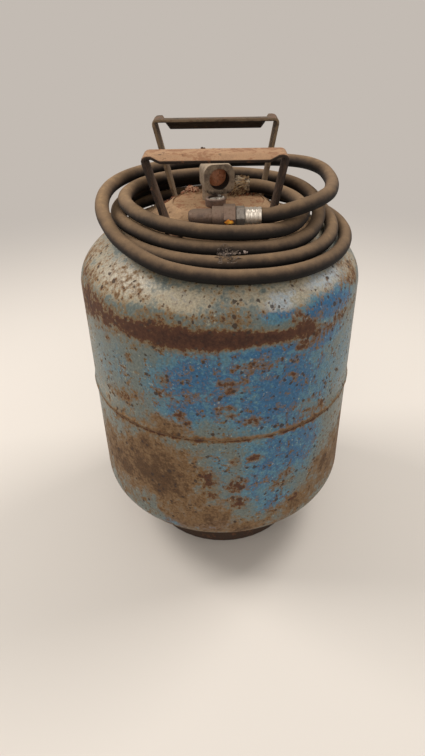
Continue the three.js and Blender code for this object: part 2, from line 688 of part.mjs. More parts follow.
/** The hose's centreline, from the ferrule's end to the torn end. */
function hosePath() {
  const start = CONNECTOR_TIP + FERRULE_END + SEAT_GAP;
  const points = [
    new THREE.Vector3(start, ...CONNECTOR_PLACE),
    new THREE.Vector3(start + HOSE_DIAMETER / 2, ...CONNECTOR_PLACE),
  ];
  for (const [bearing, radius, height] of HOSE_ROUTE) {
    const angle = THREE.MathUtils.degToRad(bearing);
    points.push(new THREE.Vector3(radius * Math.sin(angle), -radius * Math.cos(angle), height));
  }
  return new THREE.CatmullRomCurve3(points);
}

/** The hose as a plain tube. */
function hose() {
  const section = new THREE.Shape();
  for (let i = 0; i < HOSE_SIDES; i += 1) {
    const angle = (Math.PI * 2 * i) / HOSE_SIDES;
    const corner = [(HOSE_DIAMETER / 2) * Math.cos(angle), (HOSE_DIAMETER / 2) * Math.sin(angle)];
    if (i === 0) {
      section.moveTo(...corner);
    } else {
      section.lineTo(...corner);
    }
  }
  section.closePath();
  return solid(new THREE.ExtrudeGeometry(section, { steps: HOSE_STEPS, extrudePath: hosePath() }));
}

const cylinder = new THREE.Group();
cylinder.add(
  piece("upper_shell", upperShell(), FINISH.paint),
  piece("lower_shell", lowerShell(), FINISH.paint),
  piece("foot_ring", footRing(), FINISH.rust),
  piece("crown_flange", crownFlange(), FINISH.rust),
);

for (const strap of HANDLES) {
  const handle = piece(strap.name, strapHandle(strap), FINISH.strap);
  handle.rotation.z = strap.turn;
  cylinder.add(handle);
}

const valve = new THREE.Group();
valve.position.set(...VALVE_PLACE, 0);
valve.rotation.z = THREE.MathUtils.degToRad(VALVE_TURN);
valve.add(
  piece("valve_body", valveBody(), FINISH.brass),
  piece("valve_packing_nut", packingNut(), FINISH.brass),
  piece("valve_packing_ring", packingRing(), FINISH.packing),
  piece("valve_spindle", spindle(), FINISH.brass),
  piece("valve_seat_plug", seatPlug(), FINISH.brass),
);
cylinder.add(valve);

const relief = new THREE.Group();
relief.position.set(...RELIEF_PLACE, 0);
relief.add(
  piece("relief_body", reliefBody(), FINISH.brass),
  piece("relief_poppet", reliefPoppet(), FINISH.zinc),
);
cylinder.add(relief);

const connector = new THREE.Group();
connector.position.set(CONNECTOR_TIP, ...CONNECTOR_PLACE);
connector.rotation.y = Math.PI / 2;
connector.add(
  piece("hose_nose", hoseNose(), FINISH.brass),
  piece("hose_swivel_nut", swivelNut(), FINISH.brass),
  piece("hose_stem", hoseStem(), FINISH.brass),
  piece("hose_ferrule", hoseFerrule(), FINISH.zinc),
);
cylinder.add(connector, piece("hose", hose(), FINISH.rubber));

export default cylinder;
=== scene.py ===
"""Looks of a weathered gas cylinder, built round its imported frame.

Metres, +Z up. The origin is the centre of the foot ring's lower edge, and the front is -Y.
Bearings are degrees from the front towards +X. A class says so where its sizes are not in millimetres.
"""
import logging
import math
from dataclasses import dataclass, field
from enum import Enum
from typing import Any, Iterable, Sequence

import bmesh
import bpy
import numpy as np
from mathutils import Matrix, Vector, noise


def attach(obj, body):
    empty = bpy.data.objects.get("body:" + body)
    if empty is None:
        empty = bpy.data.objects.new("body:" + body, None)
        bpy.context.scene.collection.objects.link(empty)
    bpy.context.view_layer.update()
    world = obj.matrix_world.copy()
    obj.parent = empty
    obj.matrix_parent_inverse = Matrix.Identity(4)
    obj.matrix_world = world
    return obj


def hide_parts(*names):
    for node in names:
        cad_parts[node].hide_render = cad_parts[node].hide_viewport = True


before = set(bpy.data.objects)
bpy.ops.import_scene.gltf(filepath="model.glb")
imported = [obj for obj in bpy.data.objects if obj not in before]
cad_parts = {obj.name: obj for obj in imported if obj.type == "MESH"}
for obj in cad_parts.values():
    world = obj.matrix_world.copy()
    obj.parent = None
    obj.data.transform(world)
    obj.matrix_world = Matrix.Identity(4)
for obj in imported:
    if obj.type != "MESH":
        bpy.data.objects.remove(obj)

LOG = logging.getLogger("gas_cylinder")
MM = 0.001
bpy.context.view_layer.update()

# Noise averages one half and has this roughness, spots are bent out of round by this share of their
# spacing, and the grit's shading spans this part of its noise.
NOISE_MEAN = 0.5
NOISE_ROUGHNESS = 0.62
SPOT_BEND = 0.35
GRIT_SPAN = (0.25, 0.75)

# In a copy of a solid, points closer than WELD metres are joined, faces within FLAT degrees are made
# one, edges harder than HARD degrees are eased, and long edges are halved up to HALVINGS times.
WELD = 1e-6
FLAT = 1.0
HARD = 38.0
HALVINGS = 3
FACE_LIMIT = 60000

# Sides of a straw or a fibre, and how much thinner its tip is.
FIBRE_SIDES = 5
FIBRE_TAPER = 0.5

Piece = bpy.types.Object
Material = bpy.types.Material
Tree = bpy.types.NodeTree
Socket = bpy.types.NodeSocket
Random = np.random.Generator
Colour = tuple[float, float, float, float]
Point = tuple[float, float, float]
Faces = list[tuple[int, ...]]
Profile = list[tuple[float, float]]
Lump = tuple[Point, float]
Heap = tuple[tuple[float, float], float, float, int, float, float]
UP = np.array((0.0, 0.0, 1.0))


class Body(Enum):
    """The bodies that pieces ride on."""

    CYLINDER = "cylinder"
    SPINDLE = "spindle"
    SWIVEL = "swivel"


class Slot(Enum):
    """The record's material slots."""

    SHELL = "shell_paint"
    FOOT = "foot_rust"
    STRAP = "strap_steel"
    BRASS = "valve_brass"
    ZINC = "zinc_plate"
    HOSE = "hose_rubber"
    PACKING = "packing"


def srgb(code: str) -> Colour:
    """Turn an sRGB hex value into a linear colour.

    Args:
        code: Six hex digits after a hash.

    Returns:
        Linear red, green, blue and an alpha of one.
    """
    parts = [int(code[i:i + 2], 16) / 255 for i in (1, 3, 5)]
    linear = [p / 12.92 if p <= 0.04045 else ((p + 0.055) / 1.055) ** 2.4 for p in parts]
    return (linear[0], linear[1], linear[2], 1.0)


def per_mm(size: float) -> float:
    """Texture scale whose features are about that many millimetres across."""
    return 1.0 / (size * MM)


def add(tree: Tree, kind: str, links: dict[Any, Any] | None = None,
        out: Any = 0, **settings: Any) -> Socket:
    """Add one node with its settings and links.

    Args:
        tree: The tree that takes the node.
        kind: The node's type name, without the words that every shader node's starts with.
        links: What feeds each input, by name or number: a socket or a plain value.
        out: The output to return, by name or number.
        settings: Properties of the node.

    Returns:
        The chosen output socket.
    """
    node = tree.nodes.new("ShaderNode" + kind)
    for name, value in settings.items():
        setattr(node, name, value)
    for name, source in (links or {}).items():
        if isinstance(source, Socket):
            tree.links.new(source, node.inputs[name])
        else:
            node.inputs[name].default_value = source
    return node.outputs[out] if len(node.outputs) else None


def blank(name: str) -> tuple[Material, Tree]:
    """Make a material with an empty tree.

    Args:
        name: The material's name.

    Returns:
        The material and its tree.
    """
    material = bpy.data.materials.new(name)
    material.use_nodes = True
    material.node_tree.nodes.clear()
    return material, material.node_tree


# Real grit is a few tenths of a millimetre across. It is drawn at about a millimetre, or at 2.4 mm on
# the enamel, because it would not show any finer.
@dataclass(frozen=True)
class Grain:
    """One pattern in a surface, sized in millimetres: clouds of noise, or scattered spots."""

    size: float
    detail: float = 5.0
    spots: bool = False


@dataclass(frozen=True)
class Coat:
    """One coat over those below it, laid where a weighted sum of patterns is high."""

    colour: str
    parts: dict[str, float]
    low: float
    high: float
    top: float = 1.0
    rough: float | None = None
    metal: float | None = None
    rise: float = 0.0


@dataclass(frozen=True)
class Finish:
    """A weathered surface: a base, coats over it and fine grit.

    Each coat's sum is taken about the noise's average.
    """

    name: str
    base: str
    grains: dict[str, Grain]
    coats: tuple[Coat, ...]
    masks: tuple[str, ...] = ()
    rough: float = 0.6
    metal: float = 0.0
    ior: float = 1.5
    grit_range: tuple[float, float] = (0.8, 1.13)
    relief: dict[str, float] = field(default_factory=dict)
    relief_depth: float = 0.0006
    relief_strength: float = 0.6

    def patterns(self, tree: Tree) -> dict[str, Socket]:
        """Lay out the fields that the coats weigh.

        Args:
            tree: The material's tree.

        Returns:
            A socket for each pattern, each mask and the upward lean of the surface.
        """
        place = add(tree, "TexCoord", out="Object")
        fields = {mask: add(tree, "Attribute", out="Fac", attribute_name=mask)
                  for mask in self.masks}
        normal = add(tree, "NewGeometry", out="Normal")
        fields["up"] = add(tree, "SeparateXYZ", {"Vector": normal}, out="Z")
        for name, grain in self.grains.items():
            scale = per_mm(grain.size)
            if grain.spots:
                wobble = add(tree, "TexNoise", {"Vector": place, "Scale": 2 * scale}, out="Color")
                bent = add(tree, "VectorMath", {0: wobble, 1: (SPOT_BEND / scale,) * 3, 2: place},
                           operation="MULTIPLY_ADD")
                spot = {"Vector": bent, "Scale": scale}
                fields[name] = add(tree, "TexVoronoi", spot, out="Distance")
                cell = add(tree, "TexVoronoi", spot, out="Color")
                fields[name + "_pick"] = add(tree, "SeparateXYZ", {"Vector": cell}, out="X")
            else:
                fields[name] = add(tree, "TexNoise", {
                    "Vector": place, "Scale": scale, "Detail": grain.detail,
                    "Roughness": NOISE_ROUGHNESS}, out="Fac")
        return fields

    def make(self) -> Material:
        """Build the material.

        Returns:
            The material.
        """
        material, tree = blank(self.name)
        fields = self.patterns(tree)
        clouds = {name for name, grain in self.grains.items() if not grain.spots}
        colour: Any = srgb(self.base)
        rough: Any = self.rough
        metal: Any = self.metal
        height: Any = 0.0
        for name, weight in self.relief.items():
            height = add(tree, "Math", {0: fields[name], 1: weight, 2: height},
                         operation="MULTIPLY_ADD")
        for coat in self.coats:
            share: Any = -NOISE_MEAN * sum(weight for name, weight in coat.parts.items() if name in clouds)
            for name, weight in coat.parts.items():
                share = add(tree, "Math", {0: fields[name], 1: weight, 2: share},
                            operation="MULTIPLY_ADD")
            share = add(tree, "MapRange", {
                "Value": share, "From Min": coat.low, "From Max": coat.high, "To Max": coat.top},
                interpolation_type="SMOOTHSTEP")
            colour = add(tree, "Mix", {0: share, 6: colour, 7: srgb(coat.colour)}, out=2,
                         data_type="RGBA")
            if coat.rough is not None:
                rough = add(tree, "Mix", {0: share, 2: rough, 3: coat.rough}, data_type="FLOAT")
            if coat.metal is not None:
                metal = add(tree, "Mix", {0: share, 2: metal, 3: coat.metal}, data_type="FLOAT")
            if coat.rise:
                height = add(tree, "Math", {0: share, 1: coat.rise, 2: height},
                             operation="MULTIPLY_ADD")
        shade = add(tree, "MapRange", {
            "Value": fields["grit"], "From Min": GRIT_SPAN[0], "From Max": GRIT_SPAN[1],
            "To Min": self.grit_range[0], "To Max": self.grit_range[1]})
        colour = add(tree, "Mix", {0: 1.0, 6: colour, 7: shade}, out=2, data_type="RGBA",
                     blend_type="MULTIPLY")
        bump = add(tree, "Bump", {
            "Strength": self.relief_strength, "Distance": self.relief_depth, "Height": height})
        shader = add(tree, "BsdfPrincipled", {
            "Base Color": colour, "Roughness": rough, "Metallic": metal, "IOR": self.ior, "Normal": bump})
        add(tree, "OutputMaterial", {"Surface": shader})
        return material


# Brushed alkyd enamel on steel. The blue has chalked to a pale grey, wears through in flecks, and rusts
# from pits 7 mm apart. Its sheen is left only where no soil lies.
RUST_FIELD = {"rust": 1.0, "cloud": 0.7, "flake": 1.7, "speck": 1.6, "grit": 0.6}
WORN_ENAMEL = Finish(
    name="worn_enamel_on_steel", base="#636c67", rough=0.4, ior=1.48,
    masks=("rust", "soil", "chalk", "blue", "dust"),
    grains={"cloud": Grain(45), "flake": Grain(11, 7), "speck": Grain(4), "grit": Grain(2.4, 4),
            "pit": Grain(7, spots=True), "mote": Grain(3.4, spots=True)},
    coats=(
        Coat("#48778b", {"blue": 1.0, "cloud": 1.2, "flake": 1.6, "speck": 1.2}, 0.08, 0.45, 0.95),
        Coat("#1b5a85", {"blue": 1.0, "cloud": 1.4, "flake": 1.8, "speck": 1.7}, 0.42, 0.78, 0.95),
        Coat("#80785c", {"speck": 2.6, "flake": 1.6, "cloud": 0.6, "blue": -0.2}, 0.1, 0.36, 0.72),
        Coat("#735831", {"speck": 2.4, "flake": 2.0, "cloud": -0.8, "blue": -0.12},
             0.2, 0.44, 0.75, rough=0.6),
        Coat("#aca088", {"chalk": 1.0, "cloud": 1.0, "flake": 1.4, "speck": 1.2},
             0.2, 0.8, 0.92, rough=0.36),
        Coat("#a2b1bc", {"chalk": 1.0, "blue": 0.6, "flake": 1.2, "speck": 1.2},
             0.85, 1.3, 0.85, rough=0.36),
        Coat("#a58462", {"dust": 1.0, "cloud": 0.8, "flake": 0.8}, 0.2, 0.75, 0.95, rough=0.9),
        Coat("#77592d", RUST_FIELD, 0.04, 0.42, 0.75, rough=0.6),
        Coat("#57431f", {"speck": 3.4, "flake": 1.6, "grit": 0.8, "chalk": -0.2},
             0.36, 0.6, 0.8, rough=0.7),
        Coat("#a39c86", {"speck": -3.2, "flake": 1.2, "grit": 0.8}, 0.42, 0.66, 0.6),
        Coat("#7d5e3b", {"soil": 1.0, "cloud": 1.2, "flake": 1.3, "speck": 1.0},
             0.2, 0.7, 0.92, rough=0.85),
        Coat("#4b321b", {"soil": 1.0, "cloud": 1.5, "flake": 1.6, "speck": 1.3},
             0.55, 1.2, 0.88, rough=0.85),
        Coat("#6c4a27", RUST_FIELD, 0.4, 0.54, 0.85, rough=0.85, rise=0.3),
        Coat("#50301f", RUST_FIELD, 0.5, 0.68, 1.0, rough=0.88),
        Coat("#351c12", RUST_FIELD, 0.8, 1.3, 0.85, rise=-0.3),
        Coat("#3a2c24", {"pit_pick": 0.4, "flake": 1.0, "pit": -1.0, "blue": 0.04},
             0.08, 0.15, 0.85, rough=0.85, rise=-0.4),
        Coat("#4a3320", {"mote_pick": -0.5, "flake": 1.4, "speck": 0.8, "mote": -0.9},
             -0.3, -0.18, 0.75, rough=0.85, rise=-0.3)),
    grit_range=(0.55, 1.32), relief={"speck": 0.6, "grit": 0.5, "flake": 0.4},
    relief_depth=0.0009, relief_strength=0.7)


# Bare rolled steel, rusted brown: scale in dark patches, orange blisters, metal showing on the worn
# edges, and dust on whatever faces up. Faces that lean over are darkened towards the scale's colour as
# painted shade.
def rusty_steel(name: str, base: str, dust: str, dark: str = "#3d2d23", orange: str = "#835233",
                dust_top: float = 0.8, edge: str = "#83786e",
                lean: tuple[float, float] = (-0.85, 0.05)) -> Finish:
    """A rusty steel finish.

    Args:
        name: The material's name.
        base: Colour of the rust.
        dust: Colour of the dust on top.
        dark: Colour of the scale, and of the painted shade on faces that lean over.
        orange: Colour of the blisters.
        dust_top: How much of the rust the dust hides.
        edge: Colour of the bare metal.
        lean: How far a face leans over where the painted shade starts, and where it is full.

    Returns:
        The finish.
    """
    return Finish(
        name=name, base=base, rough=0.82, metal=0.15, masks=("edge",),
        grains={"patch": Grain(18, 6), "blister": Grain(5, 6), "grit": Grain(1, 6)},
        coats=(
            Coat(orange, {"blister": 1.0}, 0.02, 0.16, 0.6, rise=0.4),
            Coat(dark, {"patch": 1.6, "blister": 0.8}, 0.05, 0.35, 0.75),
            # Painted shade: faces that lean over, sides and undersides, darken towards the dark colour
            Coat(dark, {"up": -1.0, "blister": 1.0, "patch": 0.8}, *lean, 0.95),
            Coat(orange, {"patch": 1.2, "blister": 1.8}, 0.12, 0.36, 0.4, rough=0.85),
            Coat(edge, {"edge": 1.0, "blister": 1.2, "up": 0.3}, 0.95, 1.35, 0.6, rough=0.5, metal=0.5),
            Coat(dust, {"up": 1.0, "blister": 0.9, "patch": 0.5},
                 0.35, 1.15, dust_top, rough=0.92, metal=0.0),
            # Orange kept to faces turned up, so that the painted shade on the sides stays dark
            Coat(orange, {"patch": 1.8, "blister": 1.6, "up": 0.5}, 0.42, 0.72, 0.75, rough=0.85),
            Coat(dark, {"edge": 0.3, "patch": -1.6, "blister": 1.8, "up": 0.5},
                 0.72, 0.98, 0.7, rough=0.9)),
        relief={"blister": 0.8, "grit": 1.0})


# Turned or forged brass, stamped copper, and zinc plate. Tarnish takes the shine off in patches, the
# metal's own colour is left on handled edges, and dirt spots and dust dull the rest. Where a piece has a mask
# of painted shade, its bore and the face below its mouth are darkened nearly to black.
def tarnished(name: str, base: str, film: str, dust: str, spot: str = "#5d4029", metal: float = 0.6,
              rough: float = 0.5, dust_top: float = 0.7, film_top: float = 0.8,
              spot_top: float = 0.6) -> Finish:
    """A turned or forged metal finish with tarnish, dirt spots, dust on top and painted shade where its shade
    mask lies.

    Args:
        name: The material's name.
        base: Colour of the clean metal.
        film: Colour of the tarnish.
        dust: Colour laid on faces turned up: dust on most metals, a painted highlight on the copper seat.
        spot: Colour of the dirt spots.
        metal: Metallic share of the clean metal.
        rough: Roughness of the clean metal.
        dust_top: How much the dust hides.
        film_top: How much the tarnish hides.
        spot_top: How much the dirt spots hide.

    Returns:
        The finish.
    """
    return Finish(
        name=name, base=base, rough=rough, metal=metal, masks=("edge", "bore_shade"),
        grains={"patch": Grain(8), "spot": Grain(2.5), "grit": Grain(0.8)},
        coats=(
            # Tarnish, a little heavier on faces turned down: slight painted shade
            Coat(film, {"patch": 1.0, "up": -0.1}, -0.08, 0.12, film_top, rough=0.75, metal=0.1),
            Coat(spot, {"spot": 1.0}, 0.04, 0.18, spot_top, rough=0.85, metal=0.0),
            Coat(base, {"edge": 1.0, "spot": 1.5}, 0.9, 1.4, 0.7, rough=rough, metal=metal),
            Coat(dust, {"up": 1.0, "spot": 0.8, "patch": 0.4}, 0.4, 1.1, dust_top, rough=0.9, metal=0.0),
            # Near-black painted shade in a bore and below its mouth, where its mask lies
            Coat("#1c120b", {"bore_shade": 1.0, "spot": 0.8}, 0.3, 0.75, 0.95, rough=0.9, metal=0.0)),
        relief={"spot": 0.7, "grit": 1.0}, relief_depth=0.0004, relief_strength=0.4)


# Extruded black rubber, weathered matt. Dust lies along its upper side and thins out round it; this paler top
# over a near-black underside is partly dust and partly painted top light and shade.
DUSTY_RUBBER = Finish(
    name="dusty_black_rubber", base="#0d0a08", rough=0.75, ior=1.35, masks=("dust",),
    grains={"smear": Grain(26, 3), "smudge": Grain(7, 4), "grit": Grain(1, 4)},
    coats=(
        Coat("#372d26", {"up": 0.7, "dust": 1.0, "smear": 0.4, "smudge": 0.3}, 0.05, 0.5, 0.92, rough=0.8),
        Coat("#80684f", {"up": 0.75, "dust": 1.0, "smear": 0.5, "smudge": 0.4}, 0.34, 1.05, 0.9, rough=0.9),
        Coat("#a0835f", {"up": 0.6, "dust": 1.0, "smear": 0.9, "smudge": 0.9},
             0.8, 1.35, 0.75, rough=0.95)),
    grit_range=(0.86, 1.1), relief={"smudge": 0.5, "grit": 1.0}, relief_depth=0.0003, relief_strength=0.3)


# Tan dust drifted on the crown: matt, mottled with rust and dirt.
CROWN_DUST = Finish(
    name="drifted_tan_dust", base="#a08060", rough=0.95,
    grains={"cloud": Grain(24), "flake": Grain(7), "grit": Grain(1, 4)},
    coats=(
        Coat("#b5926c", {"cloud": 1.2, "flake": 0.8}, 0.0, 0.25, 0.8),
        Coat("#6e5036", {"cloud": -1.0, "flake": 1.4}, 0.08, 0.35, 0.75),
        Coat("#8a7a68", {"flake": 1.2, "cloud": 0.8}, 0.2, 0.4, 0.6)),
    grit_range=(0.78, 1.15), relief={"flake": 1.0, "grit": 1.2}, relief_depth=0.0009)


# Small dry stuff: straw, cotton, lint, crumbs, flakes of rust and corrosion, torn rubber and old wax. It is
# matt all over, and its two tones meet in soft patches.
def matt_scraps(name: str, light: str, dark: str, patch: float = 4.0) -> Finish:
    """A dry, matt finish in two mixed tones.

    Args:
        name: The material's name.
        light: The paler tone.
        dark: The darker tone.
        patch: Size of a patch of one tone in millimetres.

    Returns:
        The finish.
    """
    return Finish(name=name, base=dark, rough=0.9, grains={"tone": Grain(patch, 4), "grit": Grain(0.8, 3)},
                  coats=(Coat(light, {"tone": 1.0}, -0.12, 0.12),), relief={"grit": 1.0})


def settle(obj: Piece, body: Body, slot: Slot, *nodes: str) -> Piece:
    """Put a piece on its body.

    Args:
        obj: The piece.
        body: The body that carries it.
        slot: Its material slot; not used.
        nodes: Solids that it stands for.

    Returns:
        The same piece.
    """
    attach(obj, body.value)
    if nodes:
        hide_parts(*nodes)
    return obj


def stand(name: str, mesh: bpy.types.Mesh, material: Material, sharp: float) -> Piece:
    """Shade a mesh smooth and link it to the scene.

    Args:
        name: The piece's name.
        mesh: Its mesh.
        material: Its finish.
        sharp: Edges steeper than this many degrees stay sharp.

    Returns:
        The object.
    """
    mesh.polygons.foreach_set("use_smooth", [True] * len(mesh.polygons))
    mesh.set_sharp_from_angle(angle=math.radians(sharp))
    mesh.materials.append(material)
    obj = bpy.data.objects.new(name, mesh)
    bpy.context.scene.collection.objects.link(obj)
    return obj


def mesh_piece(name: str, points: Any, faces: Iterable[Sequence[int]], material: Material,
               sharp: float = 40.0) -> Piece:
    """Make a piece from points and faces.

    Args:
        name: The piece's name.
        points: Vertex places in metres.
        faces: Vertex numbers of each face.
        material: Its finish.
        sharp: Edges steeper than this many degrees stay sharp.

    Returns:
        The object.
    """
    mesh = bpy.data.meshes.new(name)
    mesh.from_pydata([tuple(map(float, p)) for p in points], [], [tuple(map(int, f)) for f in faces])
    mesh.validate()
    return stand(name, mesh, material, sharp)


def set_attribute(obj: Piece, name: str, values: Any) -> None:
    """Give a mesh a number at each vertex.

    Args:
        obj: The mesh object.
        name: The attribute's name.
        values: One number for each vertex.
    """
    attribute = obj.data.attributes.new(name, "FLOAT", "POINT")
    attribute.data.foreach_set("value", np.asarray(values, np.float32))


def polar(angle: float, radius: float, height: float) -> Point:
    """Place in metres from an angle off the front, and a radius and a height in millimetres."""
    return (radius * math.sin(angle) * MM, -radius * math.cos(angle) * MM, height * MM)


def grid_faces(rows: int, columns: int, wrap: bool = True) -> Faces:
    """Quads over rows of points.

    Args:
        rows: How many rows.
        columns: Points in each row.
        wrap: Whether a row closes on itself.

    Returns:
        Vertex numbers of each quad.
    """
    faces = []
    for i in range(rows - 1):
        for j in range(columns if wrap else columns - 1):
            k = (j + 1) % columns
            faces.append((i * columns + j, i * columns + k, (i + 1) * columns + k, (i + 1) * columns + j))
    return faces


def closing_faces(rows: int, columns: int) -> Faces:
    """Quads from the last row of points back to the first.

    Args:
        rows: How many rows.
        columns: Points in each row.

    Returns:
        Vertex numbers of each quad.
    """
    last = (rows - 1) * columns
    turn = [(j + 1) % columns for j in range(columns)]
    return [(last + j, last + k, k, j) for j, k in enumerate(turn)]


def headings(line: Any) -> Any:
    """Unit direction at each point of a line."""
    along = np.gradient(line, axis=0)
    return along / np.linalg.norm(along, axis=1)[:, None]


def square_to(ahead: Any, side: Any) -> Any:
    """The part of a direction that is square to another, at unit length."""
    side = side - ahead * side.dot(ahead)
    return side / np.linalg.norm(side)


def ring(place: Any, side: Any, across: Any, radius: float, sides: int) -> list[Any]:
    """Points of one ring round a line.

    Args:
        place: Its middle in metres.
        side: The way to its first point.
        across: The way to a point a quarter turn on.
        radius: Its radius in metres.
        sides: How many points.

    Returns:
        The points.
    """
    turns = [2 * math.pi * j / sides for j in range(sides)]
    return [place + (side * math.cos(turn) + across * math.sin(turn)) * radius for turn in turns]


def tubes(lines: Iterable[Any], radius: float) -> tuple[list[Any], Faces]:
    """Thin closed tubes along lines.

    Args:
        lines: Points of each tube's middle, in metres.
        radius: Radius at the thick end, in metres.

    Returns:
        Points and faces of all of them together.
    """
    points: list[Any] = []
    faces: Faces = []
    for line in lines:
        first = len(points)
        along = headings(line)
        # Any way will do to start from, as long as no straw lies along it
        side = np.cross(along[0], (0.31, 0.23, 0.92))
        for i, (place, ahead) in enumerate(zip(line, along)):
            side = square_to(ahead, side)
            size = radius * (1.0 - FIBRE_TAPER * i / len(line))
            points += ring(place, side, np.cross(ahead, side), size, FIBRE_SIDES)
        faces += [tuple(first + k for k in quad) for quad in grid_faces(len(line), FIBRE_SIDES)]
        faces += [tuple(range(first + FIBRE_SIDES - 1, first - 1, -1)),
                  tuple(range(len(points) - FIBRE_SIDES, len(points)))]
    return points, faces


def lump(x: float, y: float, z: float, radius: float) -> Lump:
    """A lump's middle and radius in metres, from millimetres."""
    return (x * MM, y * MM, z * MM), radius * MM


def crumbs(places: Iterable[Lump], rough: float = 0.35) -> tuple[list[Any], Faces]:
    """Small broken lumps.

    Args:
        places: Middle of each lump in metres, with its radius.
        rough: How uneven they are, as a share of the radius.

    Returns:
        Points and faces of all of them together.
    """
    ball = bmesh.new()
    bmesh.ops.create_icosphere(ball, subdivisions=2, radius=1.0)
    shape = [vert.co.copy() for vert in ball.verts]
    sides = [tuple(vert.index for vert in face.verts) for face in ball.faces]
    ball.free()
    # One swelling is about as wide as the lump, and no two lumps share theirs
    wave, apart = 1.3, 900
    points: list[Any] = []
    faces: Faces = []
    for place, radius in places:
        first = len(points)
        for corner in shape:
            swell = 1.0 + rough * 2 * noise.noise(corner * wave + Vector(place) * apart)
            points.append(np.array(place) + np.array(corner) * radius * swell)
        faces += [tuple(first + k for k in side) for side in sides]
    return points, faces


@dataclass(frozen=True)
class Skin:
    """A solid to be copied with eased edges: ease is their width, spacing the longest edge left whole."""

    node: str
    finish: Material
    slot: Slot
    ease: float
    spacing: float = 6.0
    body: Body = Body.CYLINDER

    def copy(self) -> Piece:
        """Copy the solid, and mark its eased edges with an attribute.

        Returns:
            The new object.
        """
        work = bmesh.new()
        work.from_mesh(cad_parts[self.node].data)
        bmesh.ops.remove_doubles(work, verts=work.verts, dist=WELD)
        bmesh.ops.dissolve_limit(work, angle_limit=math.radians(FLAT), verts=work.verts, edges=work.edges)
        hard = [e for e in work.edges if len(e.link_faces) == 2 and e.calc_face_angle(0) > math.radians(HARD)]
        made = bmesh.ops.bevel(work, geom=hard, offset=self.ease * MM, offset_type="OFFSET", segments=2,
                               profile=0.6, affect="EDGES", clamp_overlap=True)
        bmesh.ops.dissolve_degenerate(work, dist=2 * WELD, edges=work.edges)
        eased = {v for f in made["faces"] if f.is_valid for v in f.verts}
        edge = work.verts.layers.float.new("edge")
        for vert in work.verts:
            vert[edge] = 1.0 if vert in eased else 0.0
        bmesh.ops.triangulate(work, faces=[f for f in work.faces if len(f.verts) > 4])
        for _ in range(HALVINGS):
            long = [e for e in work.edges if e.calc_length() > self.spacing * MM]
            if not long or len(work.faces) > FACE_LIMIT:
                break
            bmesh.ops.subdivide_edges(work, edges=long, cuts=1, use_grid_fill=True)
        name = self.node + "_skin"
        mesh = bpy.data.meshes.new(name)
        work.to_mesh(mesh)
        work.free()
        return stand(name, mesh, self.finish, HARD)

    def build(self) -> Piece:
        """Copy the solid and put the copy on its body in its place."""
        return settle(self.copy(), self.body, self.slot, self.node)


@dataclass(frozen=True)
class Mark:
    """One soft patch on the vessel's skin, whose width is in degrees."""

    bearing: float
    height: float
    wide: float
    tall: float
    strength: float


def mark_rows(*rows: tuple[float, float, float, float, float]) -> tuple[Mark, ...]:
    """Marks from rows of their numbers."""
    return tuple(Mark(*row) for row in rows)


